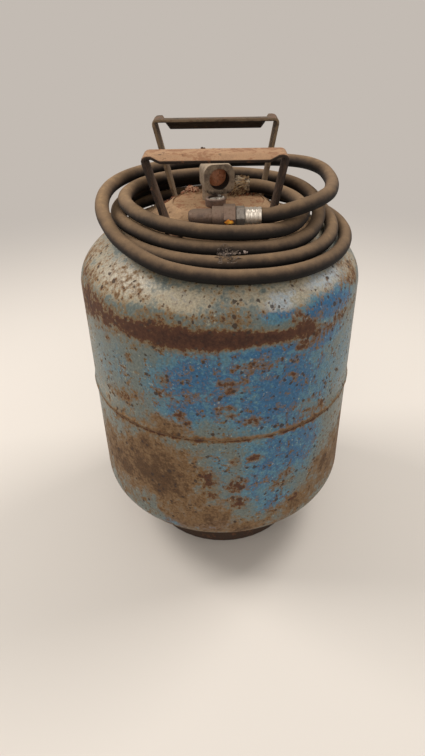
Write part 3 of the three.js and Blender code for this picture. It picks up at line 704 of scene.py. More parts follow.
@dataclass
class Vessel:
    """The two halves of the vessel as one skin each, with the girth weld between them.

    A row of the band gives a bearing, the band's middle and half height there, and its strength.
    """

    radius: float = 152.4
    head: float = 70.0
    lower_tangent: float = 91.0
    seam: float = 214.0
    upper_tangent: float = 337.0
    hole: float = 36.0
    bead_width: float = 7.0
    bead_height: float = 1.5
    bead_ripple: float = 0.35
    dent: float = 0.45
    wall: float = 3.0
    joggle: float = 14.0
    pole: float = 0.004
    columns: int = 320
    soil_line: float = 110.0
    chalk_line: float = 350.0
    dust_line: float = 384.0
    band: tuple[tuple[float, float, float, float], ...] = (
        (-180, 330, 5, 0.3), (-130, 332, 8, 0.5), (-95, 326, 16, 0.5), (-72, 328, 20, 0.58),
        (-60, 335, 15, 0.62), (-45, 335, 12, 0.5), (-30, 332, 11, 0.85), (-15, 331, 11, 1.0),
        (0, 331, 9.5, 1.0), (10, 330, 7, 1.0), (20, 329, 6, 1.0), (28, 329, 6.5, 0.85), (34, 326, 10, 0.75),
        (42, 322, 6, 0.3), (70, 325, 5, 0.15), (120, 330, 7, 0.5), (180, 330, 5, 0.3))
    rust: tuple[Mark, ...] = mark_rows(
        (32, 314, 4, 9, 0.62), (28.5, 342, 3, 10, 0.55), (37, 330, 2.5, 12, 0.5), (27, 283, 1.3, 3, 0.9),
        (-48, 328, 7, 8, 0.25), (-8, 268, 8, 8, 0.3), (-20, 262, 7, 10, 0.26), (-22, 283, 3, 9, 0.5),
        (-48, 307, 2.5, 5, 0.6), (-36, 297, 2.5, 6, 0.55), (-40, 283, 2, 2.5, 0.5), (-58, 300, 3, 3, 0.4),
        (-33, 283, 2, 3, 0.4), (-16, 242, 3.5, 6, 0.55), (-13, 235, 2, 5, 0.5), (-42, 247, 5, 7, 0.48),
        (-49, 277, 2, 2.5, 0.5), (3, 284, 7, 4, 0.5), (5, 275, 6, 6, 0.42), (2, 255, 5, 4, 0.45),
        (10, 277, 3, 3, 0.45), (15, 286, 5, 3, 0.4), (3, 247, 4, 6, 0.45), (12, 236, 3.5, 7, 0.58),
        (33, 240, 7, 6, 0.36), (40, 230, 7, 7, 0.36), (24, 213, 3, 4, 0.5), (13.5, 187, 3.5, 6, 0.72),
        (5, 186, 3, 10, 0.4), (-6, 160, 6, 14, 0.55), (-5, 140, 5, 16, 0.5), (5, 150, 4.5, 16, 0.5),
        (6, 125, 4.5, 13, 0.5), (28, 155, 5, 7, 0.45), (26, 140, 6, 6, 0.42), (32, 110, 5, 6, 0.5),
        (23, 100, 6, 7, 0.45), (20, 95, 6, 6, 0.42), (-45, 360, 20, 10, 0.26), (-25, 350, 16, 7, 0.36),
        (5, 352, 9, 9, 0.3), (65, 352, 10, 8, 0.3), (-68, 352, 12, 14, 0.45), (0, 322, 22, 6, 0.36),
        (12, 300, 12, 10, 0.26), (-35, 318, 22, 7, 0.32))
    soil: tuple[Mark, ...] = mark_rows(
        (-30, 160, 22, 56, 1.1), (-50, 140, 24, 60, 0.8), (-72, 130, 20, 55, 0.65),
        (-24, 222, 14, 22, 0.75), (-42, 214, 18, 18, 0.5), (-10, 115, 12, 34, 0.75), (57, 130, 17, 45, 0.8),
        (72, 125, 16, 55, 0.8), (38, 105, 14, 20, 0.6), (8, 80, 40, 16, 0.75), (32, 98, 14, 18, 0.8),
        (-12, 100, 20, 26, 0.9), (-40, 250, 16, 25, 0.34), (40, 226, 10, 10, 0.36),
        (-50, 366, 26, 14, 0.42), (-80, 350, 14, 40, 0.5), (70, 362, 16, 14, 0.45))
    blue: tuple[Mark, ...] = mark_rows(
        (-4, 280, 26, 46, 0.8), (20, 268, 24, 56, 0.9), (45, 342, 17, 13, 1.0), (25, 188, 20, 48, 0.85),
        (40, 262, 14, 44, 0.6), (12, 150, 12, 34, 0.5), (0, 168, 7, 45, 0.35), (22, 352, 9, 11, 0.75),
        (15, 314, 24, 10, 0.85), (40, 314, 15, 16, 0.85), (-6, 84, 8, 8, 0.9), (50, 362, 22, 14, 0.6),
        (24, 362, 10, 10, 0.45), (-15, 250, 12, 24, 0.75), (-50, 285, 16, 34, 0.34), (22, 118, 10, 24, 0.6),
        (-22, 82, 7, 10, 0.7), (-2, 92, 6, 8, 0.7), (60, 268, 14, 60, 0.36))
    chalk: tuple[Mark, ...] = mark_rows(
        (-45, 366, 32, 15, 0.95), (-75, 370, 25, 16, 0.75), (-15, 364, 15, 12, 0.9), (10, 366, 14, 10, 0.6),
        (24, 362, 13, 11, 0.95), (45, 368, 20, 12, 0.95), (70, 362, 16, 12, 0.8), (-62, 285, 12, 40, 0.34),
        (-55, 225, 16, 25, 0.4), (62, 225, 12, 40, 0.34))

    def field_of(self, marks: Sequence[Mark], bearing: Any, height: Any) -> Any:
        """Sum of marks, with a turned and weakened copy of each on the far side.

        Args:
            marks: The patches.
            bearing: Bearing of each point in degrees.
            height: Height of each point in millimetres.

        Returns:
            The mask at each point.
        """
        value = np.zeros_like(bearing)
        for mark in marks:
            for centre, shift, share in ((mark.bearing, 0.0, 1.0), (170 - mark.bearing * 1.1, 7.0, 0.85)):
                turn = (bearing - centre + 180) % 360 - 180
                reach = (turn / mark.wide) ** 2 + ((height - mark.height - shift) / mark.tall) ** 2
                value = np.maximum(value, share * mark.strength * np.exp(-reach ** 1.5))
        return value

    def band_of(self, bearing: Any, height: Any) -> Any:
        """Rust band round the upper tangent line.

        Args:
            bearing: Bearing of each point in degrees.
            height: Height of each point in millimetres.

        Returns:
            The mask at each point.
        """
        table = np.array(self.band)
        middle, half, strength = (np.interp(bearing, table[:, 0], table[:, k]) for k in (1, 2, 3))
        return 1.15 * strength * np.exp(-np.abs((height - middle) / (half * 1.25)) ** 2.4)

    def weather(self, obj: Piece, points: Sequence[Point]) -> None:
        """Lay the masks that the enamel's coats weigh.

        Args:
            obj: The skin.
            points: Its vertices in metres.
        """
        place = np.array(points)
        bearing = np.degrees(np.arctan2(place[:, 0], -place[:, 1]))
        height = place[:, 2] / MM
        # The weld holds soil over its whole width. The dark line just below it is painted shadow under the
        # bead, laid as rust.
        weld = np.exp(-((height - self.seam - 2) / 4.0) ** 2)
        bead_shadow = np.exp(-((height - self.seam + 1.5) / 1.8) ** 2)
        least = {"rust": np.maximum(self.band_of(bearing, height), weld * 0.2 + 0.5 * bead_shadow),
                 "soil": np.maximum(np.clip((self.soil_line - height) / 40, 0, 1) * 0.55, weld * 0.9),
                 "blue": np.zeros_like(height),
                 "chalk": np.clip((height - self.chalk_line) / 16, 0, 1) * 0.5}
        marks = {"rust": self.rust, "soil": self.soil, "blue": self.blue, "chalk": self.chalk}
        for name, patches in marks.items():
            set_attribute(obj, name, np.maximum(self.field_of(patches, bearing, height), least[name]))
        set_attribute(obj, "dust", np.clip((height - self.dust_line) / 10, 0, 1))

    def skin(self, name: str, profile: Profile, material: Material, closed: bool) -> Piece:
        """Turn a profile with slight unevenness and lay the masks on it.

        Args:
            name: The piece's name.
            profile: Radius and height of each row in millimetres.
            material: The finish.
            closed: True where the profile closes on itself, False where both its ends meet the axis.

        Returns:
            The skin.
        """
        points = []
        for radius, height in profile:
            for angle in np.linspace(-math.pi, math.pi, self.columns, endpoint=False):
                x, y, reach = math.sin(angle), -math.cos(angle), radius
                if radius > self.hole + 2:
                    reach += self.dent * noise.noise(Vector((x * 2.1, y * 2.1, height / 90)))
                if self.seam < height < self.seam + self.bead_width:
                    reach += self.bead_ripple * noise.noise(Vector((x * 30, y * 30, height / 3)))
                points.append(polar(angle, reach, height))
        rows, columns = len(profile), self.columns
        faces = grid_faces(rows, columns)
        if closed:
            faces += closing_faces(rows, columns)
        else:
            faces += [tuple(range(columns - 1, -1, -1)), tuple(range((rows - 1) * columns, rows * columns))]
        obj = mesh_piece(name, points, faces, material, 60.0)
        self.weather(obj, points)
        return obj

    def arc(self, inset: float, tangent: float, way: int, start: float, end: float, rows: int) -> Profile:
        """Part of a head's profile.

        Args:
            inset: How far inside the outer face it lies.
            tangent: Height of the head's tangent line.
            way: 1 for the upper head, -1 for the lower.
            start: First angle off the axis in radians.
            end: Last angle.
            rows: How many points.

        Returns:
            Radius and height of each point.
        """
        return [((self.radius - inset) * math.sin(a), tangent + way * (self.head - inset) * math.cos(a))
                for a in np.linspace(start, end, rows)]

    def build(self) -> list[Piece]:
        """Build both halves.

        Returns:
            The two skins.
        """
        enamel = WORN_ENAMEL.make()
        quarter = math.pi / 2
        inner = self.radius - self.wall
        # Upper half: the bead's lower edge, the bead, the side, the head, the hole's lip and the lining
        rim = [(self.radius - 3, self.seam)]
        bead = [(self.radius + self.bead_height * math.sin(math.pi * s), self.seam + self.bead_width * s)
                for s in np.linspace(0, 1, 9)]
        side = [(self.radius, h)
                for h in np.linspace(self.seam + self.bead_width + 1.5, self.upper_tangent - 2, 44)]
        start = math.asin(self.hole / self.radius)
        dome = self.arc(0.0, self.upper_tangent, 1, quarter, start, 56)
        lip = [(self.hole, dome[-1][1] - 3)]
        lining = self.arc(self.wall, self.upper_tangent, 1, start + 0.03, quarter, 16)
        lining.append((inner, self.seam + 9))
        upper = self.skin("upper_skin", [*rim, *bead, *side, *dome, *lip, *lining], enamel, True)
        # Lower half: the head, the side, and the joggled edge that slips inside the upper half
        bottom = self.arc(0.0, self.lower_tangent, -1, self.pole, quarter, 52)
        edge = self.seam - 0.3
        top = edge + self.joggle
        skirt = [(self.radius, h) for h in np.linspace(self.lower_tangent + 2, edge - 1, 46)]
        shut = [(self.radius - 0.3, edge - 0.4), (self.radius - 0.8, edge), (self.radius - 3.2, edge),
                (self.radius - 3.3, top)]
        step = [(inner - 3.3, top), (inner - 3.3, edge - 4), (inner, edge - 9)]
        bowl = self.arc(self.wall, self.lower_tangent, -1, quarter, self.pole, 18)
        lower = self.skin("lower_skin", [*bottom, *skirt, *shut, *step, *bowl], enamel, False)
        return [settle(upper, Body.CYLINDER, Slot.SHELL, "upper_shell"),
                settle(lower, Body.CYLINDER, Slot.SHELL, "lower_shell")]


@dataclass
class Steelwork:
    """Foot ring, crown flange and both strap handles, copied from their solids with eased edges."""

    strap_ease: float = 0.9
    ring_ease: float = 0.5

    def build(self) -> list[Piece]:
        """Build the steel pieces.

        Returns:
            The pieces.
        """
        # Faces of the foot ring and the flange that lean over darken towards their dark colour: painted shade
        foot = rusty_steel("rusted_rolled_steel", "#5f4433", "#7d6249", dust_top=0.4).make()
        plate = rusty_steel("dusty_rolled_steel", "#8a6a4c", "#a98763", dark="#5c4430", dust_top=0.92).make()
        # On the front handle the faces that lean over, its legs, take near-black painted shade; its tan eased
        # edges are worn metal and partly a painted highlight
        front = rusty_steel("tan_rusted_strap_steel", "#7d5f48", "#b08b68", dark="#180f0a", orange="#7d5336",
                            edge="#80654e").make()
        # The rear handle's lip, which leans over, takes painted shade, and its upper faces are darkened to a
        # deep brown
        rear = rusty_steel("brown_rusted_strap_steel", "#7d6850", "#322921", dark="#2a2019", orange="#6e5039",
                           dust_top=0.85, lean=(-0.1, 0.4)).make()
        return [skin.build() for skin in (
            Skin("foot_ring", foot, Slot.FOOT, self.ring_ease),
            Skin("crown_flange", plate, Slot.FOOT, self.ring_ease),
            Skin("front_handle", front, Slot.STRAP, self.strap_ease),
            Skin("rear_handle", rear, Slot.STRAP, self.strap_ease))]


@dataclass
class ValveGroup:
    """Outlet valve and relief valve. The outlet's place is in metres.

    A row of the seat gives a radius and a depth below the outlet's face.
    """

    ease: float = 0.6
    fine_ease: float = 0.3
    outlet: Point = (0.00141, -0.01543, 0.4385)
    bearing: float = 12.0
    bore: float = 10.8
    seat_columns: int = 40
    seat_chip: float = 0.35
    seat_rows: tuple[tuple[float, float], ...] = (
        (0.05, 14.6), (2.5, 14.6), (5.0, 14.7), (7.5, 14.9), (9.2, 15.2), (10.15, 15.7), (10.15, 16.8),
        (0.05, 16.8))

    def ways(self) -> tuple[Any, Any]:
        """The way the outlet faces, and the way to its side."""
        ahead = np.array((math.sin(math.radians(self.bearing)), -math.cos(math.radians(self.bearing)), 0.0))
        return ahead, np.array((-ahead[1], ahead[0], 0.0))

    def seat(self) -> Piece:
        """Make the chipped copper seat at the bottom of the outlet's bore.

        Returns:
            The seat.
        """
        ahead, side = self.ways()
        columns, points = self.seat_columns, []
        for reach, depth in self.seat_rows:
            for turn in np.linspace(0, 2 * math.pi, columns, endpoint=False):
                spot = side * math.cos(turn) * reach + UP * (math.sin(turn) * reach)
                chip = self.seat_chip * noise.noise(Vector(spot) * 0.35) if 0.5 < reach < 9 else 0.0
                points.append(np.array(self.outlet) + (spot - ahead * (depth + chip)) * MM)
        # Stamped copper, bright orange-pink where it is chipped and brown where rust has run on it. Its
        # tarnish is a little heavier on faces turned down, painted shade, and faces turned up take a pale
        # peach, painted top light.
        copper = tarnished("rusted_copper", "#f0a67c", "#c9764a", "#f0b48e", spot="#6e3118", metal=0.1,
                           rough=0.4).make()
        faces = [quad[::-1] for quad in grid_faces(len(self.seat_rows), columns)]
        faces += [tuple(range(columns)), tuple(range(len(points) - 1, len(points) - columns - 1, -1))]
        return mesh_piece("outlet_seat", points, faces, copper, 30.0)

    def shade_bore(self, obj: Piece) -> None:
        """Lay painted shade in the outlet's bore, heavier towards its bottom, and on the face below its
        mouth, growing downwards.

        Args:
            obj: The valve body's skin.
        """
        ahead, side = self.ways()
        place = np.array([v.co for v in obj.data.vertices]) - np.array(self.outlet)
        depth, across, level = -(place @ ahead) / MM, (place @ side) / MM, (place @ UP) / MM
        inside = (depth > 0.4) & (np.hypot(across, level) < self.bore)
        face = (depth < 1.2) * np.clip((-5.0 - level) / 12.0, 0, 0.62)
        set_attribute(obj, "bore_shade", np.where(inside, np.clip(0.55 + (4.0 - level) / 16, 0, 1), face))

    def build(self) -> list[Piece]:
        """Build the valves' visible pieces.

        Returns:
            The pieces.
        """
        brass = tarnished("tarnished_brass", "#a5947f", "#6f6054", "#a8967f").make()
        dull = tarnished("dull_brass", "#77645a", "#4d3d35", "#8a7565").make()
        crust = tarnished("crusted_zinc", "#9b9284", "#7a6a58", "#d2c8b8", metal=0.3, dust_top=0.95).make()
        pieces = [skin.build() for skin in (
            Skin("valve_body", brass, Slot.BRASS, self.ease, 2.0),
            Skin("valve_packing_nut", brass, Slot.BRASS, self.ease, 2.0),
            Skin("relief_body", dull, Slot.BRASS, self.ease, 2.0),
            Skin("relief_poppet", crust, Slot.ZINC, self.fine_ease, 3.0),
            Skin("valve_spindle", brass, Slot.BRASS, self.fine_ease, 3.0, Body.SPINDLE))]
        self.shade_bore(pieces[0])
        pieces.append(settle(self.seat(), Body.CYLINDER, Slot.BRASS))
        for node in ("valve_packing_ring", "valve_seat_plug"):
            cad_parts[node].data.materials.clear()
            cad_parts[node].data.materials.append(brass)
        return pieces


@dataclass
class Connector:
    """The hose's metal end: nose, swivel nut, stem and ferrule, with a dab of wax on the nut's lower front.

    A row of the dab gives the middle and the radius of a lump in metres.
    """

    ease: float = 0.5
    spacing: float = 3.0
    dab: tuple[tuple[Point, float], ...] = (
        ((0.0085, -0.0893, 0.4196), 0.0024), ((0.0112, -0.0893, 0.4192), 0.0022),
        ((0.0066, -0.0892, 0.419), 0.0015))

    def build(self) -> list[Piece]:
        """Build the connector's pieces.

        Returns:
            The pieces.
        """
        brown = tarnished("brown_brass", "#7f6a5c", "#5c4c44", "#8a7563").make()
        # Plating that has kept its shine, so that its ribs glint
        zinc = tarnished("bright_zinc_plate", "#e6ddd0", "#b7a999", "#cfc1ae", metal=0.9, rough=0.28,
                         film_top=0.3, spot_top=0.25, dust_top=0.2).make()
        grey = tarnished("grey_brass", "#8f8880", "#5f5954", "#96897b", metal=0.7).make()
        pieces = [skin.build() for skin in (
            Skin("hose_nose", brown, Slot.BRASS, self.ease, self.spacing),
            Skin("hose_swivel_nut", brown, Slot.BRASS, self.ease, self.spacing, Body.SWIVEL),
            Skin("hose_stem", grey, Slot.BRASS, self.ease, self.spacing),
            Skin("hose_ferrule", zinc, Slot.ZINC, self.ease, self.spacing))]
        wax = matt_scraps("orange_sealing_wax", "#f0b43c", "#c8701c").make()
        pieces.append(settle(mesh_piece("wax_dab", *crumbs(self.dab, 0.2), wax), Body.SWIVEL, Slot.BRASS))
        return pieces


@dataclass
class Hose:
    """Loose rubber hose wound round the handles, torn at the end by the valve. Sizes are in metres.

    A row of the route gives a bearing, a radius and a height. The torn cover and its fibres are in
    millimetres along and round the hose's end.
    """

    diameter: float = 0.014
    sides: int = 24
    pitch: float = 0.0032
    ferrule: Point = (0.03945, -0.0795, 0.4217)
    bore: tuple[tuple[float, float], ...] = ((0.0042, 0.0006), (0.004, 0.012))
    cover_rows: int = 6
    cover_columns: int = 34
    cover_back: float = 12.0
    cover_thick: float = 1.1
    fibres: int = 150
    fibre_radius: float = 0.4
    fibre_floor: float = 0.4136
    route: tuple[Point, ...] = (
        (33.8, 0.0959, 0.4231), (40.6, 0.1025, 0.4259), (47.7, 0.1076, 0.4282), (55, 0.1112, 0.4296),
        (62.5, 0.1134, 0.4304), (70.1, 0.115, 0.4308), (86, 0.1162, 0.431), (100.6, 0.1195, 0.4316),
        (114.3, 0.1252, 0.4324), (127.8, 0.128, 0.4326), (141.6, 0.126, 0.4314), (158.5, 0.12, 0.4294),
        (180, 0.1155, 0.4278), (202, 0.1145, 0.4272), (218, 0.1144, 0.427), (232.3, 0.1138, 0.427),
        (245.8, 0.1132, 0.427), (258, 0.1136, 0.4266), (267, 0.1152, 0.4254), (276, 0.1178, 0.4228),
        (284, 0.1202, 0.4186), (292, 0.1218, 0.4134), (301, 0.1228, 0.4078), (311.2, 0.1255, 0.4023),
        (324.7, 0.128, 0.3952), (335.7, 0.129, 0.3892), (347.6, 0.1294, 0.3856), (0, 0.1304, 0.3834),
        (11, 0.1314, 0.3826), (22, 0.1328, 0.3816), (34, 0.1342, 0.3809), (47, 0.1346, 0.3807),
        (60, 0.1344, 0.381), (73, 0.1338, 0.3818), (86, 0.133, 0.3832), (99, 0.1305, 0.3858),
        (113, 0.126, 0.3888), (128, 0.1205, 0.3914), (145, 0.115, 0.3933), (163, 0.1125, 0.394),
        (180, 0.112, 0.394), (200, 0.112, 0.394), (220, 0.1125, 0.3938), (240, 0.113, 0.3934),
        (255, 0.1133, 0.3932), (270, 0.1135, 0.393), (285, 0.1135, 0.393), (300, 0.113, 0.3932),
        (315, 0.1125, 0.3935), (330, 0.1142, 0.3928), (345, 0.116, 0.3916), (0, 0.1174, 0.3908),
        (17, 0.1186, 0.39), (35, 0.121, 0.389), (52, 0.121, 0.389), (68, 0.12, 0.39), (84, 0.118, 0.393),
        (100, 0.1152, 0.397), (116, 0.1125, 0.4014), (134, 0.1114, 0.4058), (155, 0.111, 0.4086),
        (180, 0.1106, 0.409), (205, 0.1108, 0.4088), (230, 0.1096, 0.408), (252, 0.1072, 0.407),
        (270, 0.106, 0.4064), (286, 0.1045, 0.4056), (300, 0.1025, 0.4048), (315, 0.1016, 0.4036),
        (328, 0.1024, 0.402), (342, 0.104, 0.4006), (0, 0.105, 0.3994), (12, 0.106, 0.3986),
        (24, 0.1072, 0.3974), (36, 0.108, 0.3966), (52, 0.1068, 0.3972), (68, 0.105, 0.3998),
        (84, 0.1046, 0.4046), (100, 0.105, 0.4096), (118, 0.1034, 0.4146), (138, 0.1006, 0.417),
        (160, 0.0984, 0.4178), (180, 0.0976, 0.418), (200, 0.0976, 0.418), (220, 0.0988, 0.4186),
        (238, 0.0978, 0.4192), (254, 0.0972, 0.4192), (270, 0.0968, 0.4196), (284, 0.0966, 0.4196),
        (299, 0.0966, 0.4194), (313, 0.0976, 0.4182), (323.6, 0.0988, 0.4172), (335.2, 0.099, 0.4158),
        (348.2, 0.0986, 0.414), (0, 0.0984, 0.4126), (13, 0.0994, 0.4114), (25, 0.1006, 0.4106),
        (34.5, 0.101, 0.4096), (46.2, 0.0994, 0.41), (58, 0.0958, 0.412), (70, 0.0896, 0.4134),
        (82.3, 0.082, 0.4152), (95.3, 0.0714, 0.4174), (109.3, 0.0589, 0.4198), (121.3, 0.0487, 0.4212),
        (141.5, 0.0362, 0.4216))

    def centreline(self) -> Any:
        """Smooth line through the route's points.

        Returns:
            Points a pitch apart, from the ferrule to the torn end.
        """
        x, y, z = self.ferrule
        knots = [(x, y, z), (x + self.diameter / 2, y, z)]
        for bearing, radius, height in self.route:
            angle = math.radians(bearing)
            knots.append((radius * math.sin(angle), -radius * math.cos(angle), height))
        line = np.array(knots)
        ends = np.vstack([2 * line[0] - line[1], line, 2 * line[-1] - line[-2]])
        fine = []
        for a, b, c, d in zip(ends, ends[1:], ends[2:], ends[3:]):
            before, here, after = (math.sqrt(np.linalg.norm(q - p)) for p, q in ((a, b), (b, c), (c, d)))
            leave = ((b - a) / before - (c - a) / (before + here) + (c - b) / here) * here
            arrive = ((c - b) / here - (d - b) / (here + after) + (d - c) / after) * here
            for t in np.linspace(0, 1, 14, endpoint=False):
                fine.append(b + leave * t + (3 * (c - b) - 2 * leave - arrive) * t ** 2
                            + (2 * (b - c) + leave + arrive) * t ** 3)
        fine.append(line[-1])
        fine = np.array(fine)
        run = np.concatenate([[0], np.cumsum(np.linalg.norm(np.diff(fine, axis=0), axis=1))])
        count = int(run[-1] / self.pitch)
        return np.stack([np.interp(np.linspace(0, run[-1], count), run, fine[:, k]) for k in range(3)], 1)

    def dust_at(self, place: Any, end: Any) -> float:
        """Dust on the hose: most on its left turns and by the torn end.

        Args:
            place: A point of the middle line.
            end: The torn end.

        Returns:
            The mask there.
        """
        bearing = math.degrees(math.atan2(place[0], -place[1]))
        near_end = 0.4 * math.exp(-float(np.linalg.norm(place - end)) / 0.05)
        return 0.16 + 0.22 * math.exp(-((bearing + 85) / 45) ** 2) + near_end

    def build(self, connector: Sequence[Piece]) -> list[Piece]:
        """Build the hose.

        Args:
            connector: The metal pieces on its end; not used.

        Returns:
            The hose, its torn cover and the frayed cord.
        """
        line = self.centreline()
        along = headings(line)
        end, side, sides = line[-1], UP, self.sides
        points: list[Any] = []
        dust: list[float] = []
        for place, ahead in zip(line, along):
            side = square_to(ahead, side)
            across = np.cross(ahead, side)
            points += ring(place, side, across, self.diameter / 2, sides)
            dust += [self.dust_at(place, end)] * sides
        faces = [*grid_faces(len(line), sides), tuple(range(sides - 1, -1, -1))]
        # The torn end shows its bore
        for reach, back in self.bore:
            points += ring(end - along[-1] * back, side, across, reach, sides)
            dust += [0.2] * sides
        faces += [tuple((len(line) - 1) * sides + k for k in quad) for quad in grid_faces(3, sides)]
        faces.append(tuple(range(len(points) - sides, len(points))))
        obj = mesh_piece("hose_tube", points, faces, DUSTY_RUBBER.make(), 60.0)
        set_attribute(obj, "dust", dust)
        settle(obj, Body.CYLINDER, Slot.HOSE, "hose")
        up = square_to(along[-1], UP)
        torn = [self.torn_cover(end, along[-1], up), self.frayed_cord(end, along[-1], up)]
        return [obj, *torn]

    def torn_cover(self, end: Any, ahead: Any, up: Any) -> Piece:
        """Make the torn cover that curls off the hose's end.

        Args:
            end: The end of the hose's middle line.
            ahead: The way it points there.
            up: The way up from it.

        Returns:
            The cover.
        """
        side = np.cross(ahead, up)
        rows, columns = self.cover_rows, self.cover_columns
        outer, inner = [], []
        for share in (i / (rows - 1) for i in range(rows)):
            for turn in np.linspace(-2.3, 2.5, columns):
                tear = 2.5 + 4.5 * noise.noise(Vector((turn * 2.2, 0.3, 0.0)))
                run = -self.cover_back + (tear + self.cover_back) * share
                curl = 0.8 + 0.6 * noise.noise(Vector((turn * 2.5, share, 2.0)))
                reach = 7.2 + 3.4 * share ** 1.6 * curl
                ray = up * math.cos(turn) + side * math.sin(turn)
                outer.append(end + (ahead * run + ray * reach) * MM)
                inner.append(end + (ahead * run + ray * (reach - self.cover_thick)) * MM)
        count = rows * columns
        sheet = grid_faces(rows, columns, wrap=False)
        faces = sheet + [tuple(count + k for k in quad[::-1]) for quad in sheet]
        border = [*range(columns), *range(2 * columns - 1, count, columns),
                  *range(count - 2, count - columns - 1, -1), *range(count - 2 * columns, 0, -columns)]
        faces += [(b, a, count + a, count + b) for a, b in zip(border, [*border[1:], border[0]])]
        rubber = matt_scraps("torn_rubber_cover", "#ac9b83", "#4a3a2c").make()
        return settle(mesh_piece("torn_cover", outer + inner, faces, rubber, 50.0), Body.CYLINDER, Slot.HOSE)

    def frayed_cord(self, end: Any, ahead: Any, up: Any) -> Piece:
        """Make the frayed cord of the hose's braid.

        Args:
            end: The end of the hose's middle line.
            ahead: The way it points there.
            up: The way up from it.

        Returns:
            The fibres.
        """
        rng = np.random.default_rng(11)
        side = np.cross(ahead, up)
        lines = []
        for _ in range(self.fibres):
            turn, reach, start = rng.uniform(-2.4, 2.4), rng.uniform(6.2, 9.0), rng.uniform(-11, 0)
            ray = up * math.cos(turn) + side * math.sin(turn)
            length, flare, droop = rng.uniform(5, 14), rng.uniform(-0.1, 0.7), rng.uniform(0.1, 0.8)
            run = []
            for t in np.linspace(0, 1, 7):
                wave = 0.7 * math.sin(t * 5 + turn * 3)
                out = ray * (reach + flare * length * t) + side * wave * t - up * droop * length * t * t
                spot = end + (ahead * (start + length * 0.8 * t) + out) * MM
                spot[2] = max(spot[2], self.fibre_floor)
                run.append(spot)
            lines.append(np.array(run))
        cotton = matt_scraps("frayed_cotton_cord", "#c7a87e", "#6a4c31").make()
        return settle(mesh_piece("frayed_cord", *tubes(lines, self.fibre_radius * MM), cotton),
                      Body.CYLINDER, Slot.PACKING)


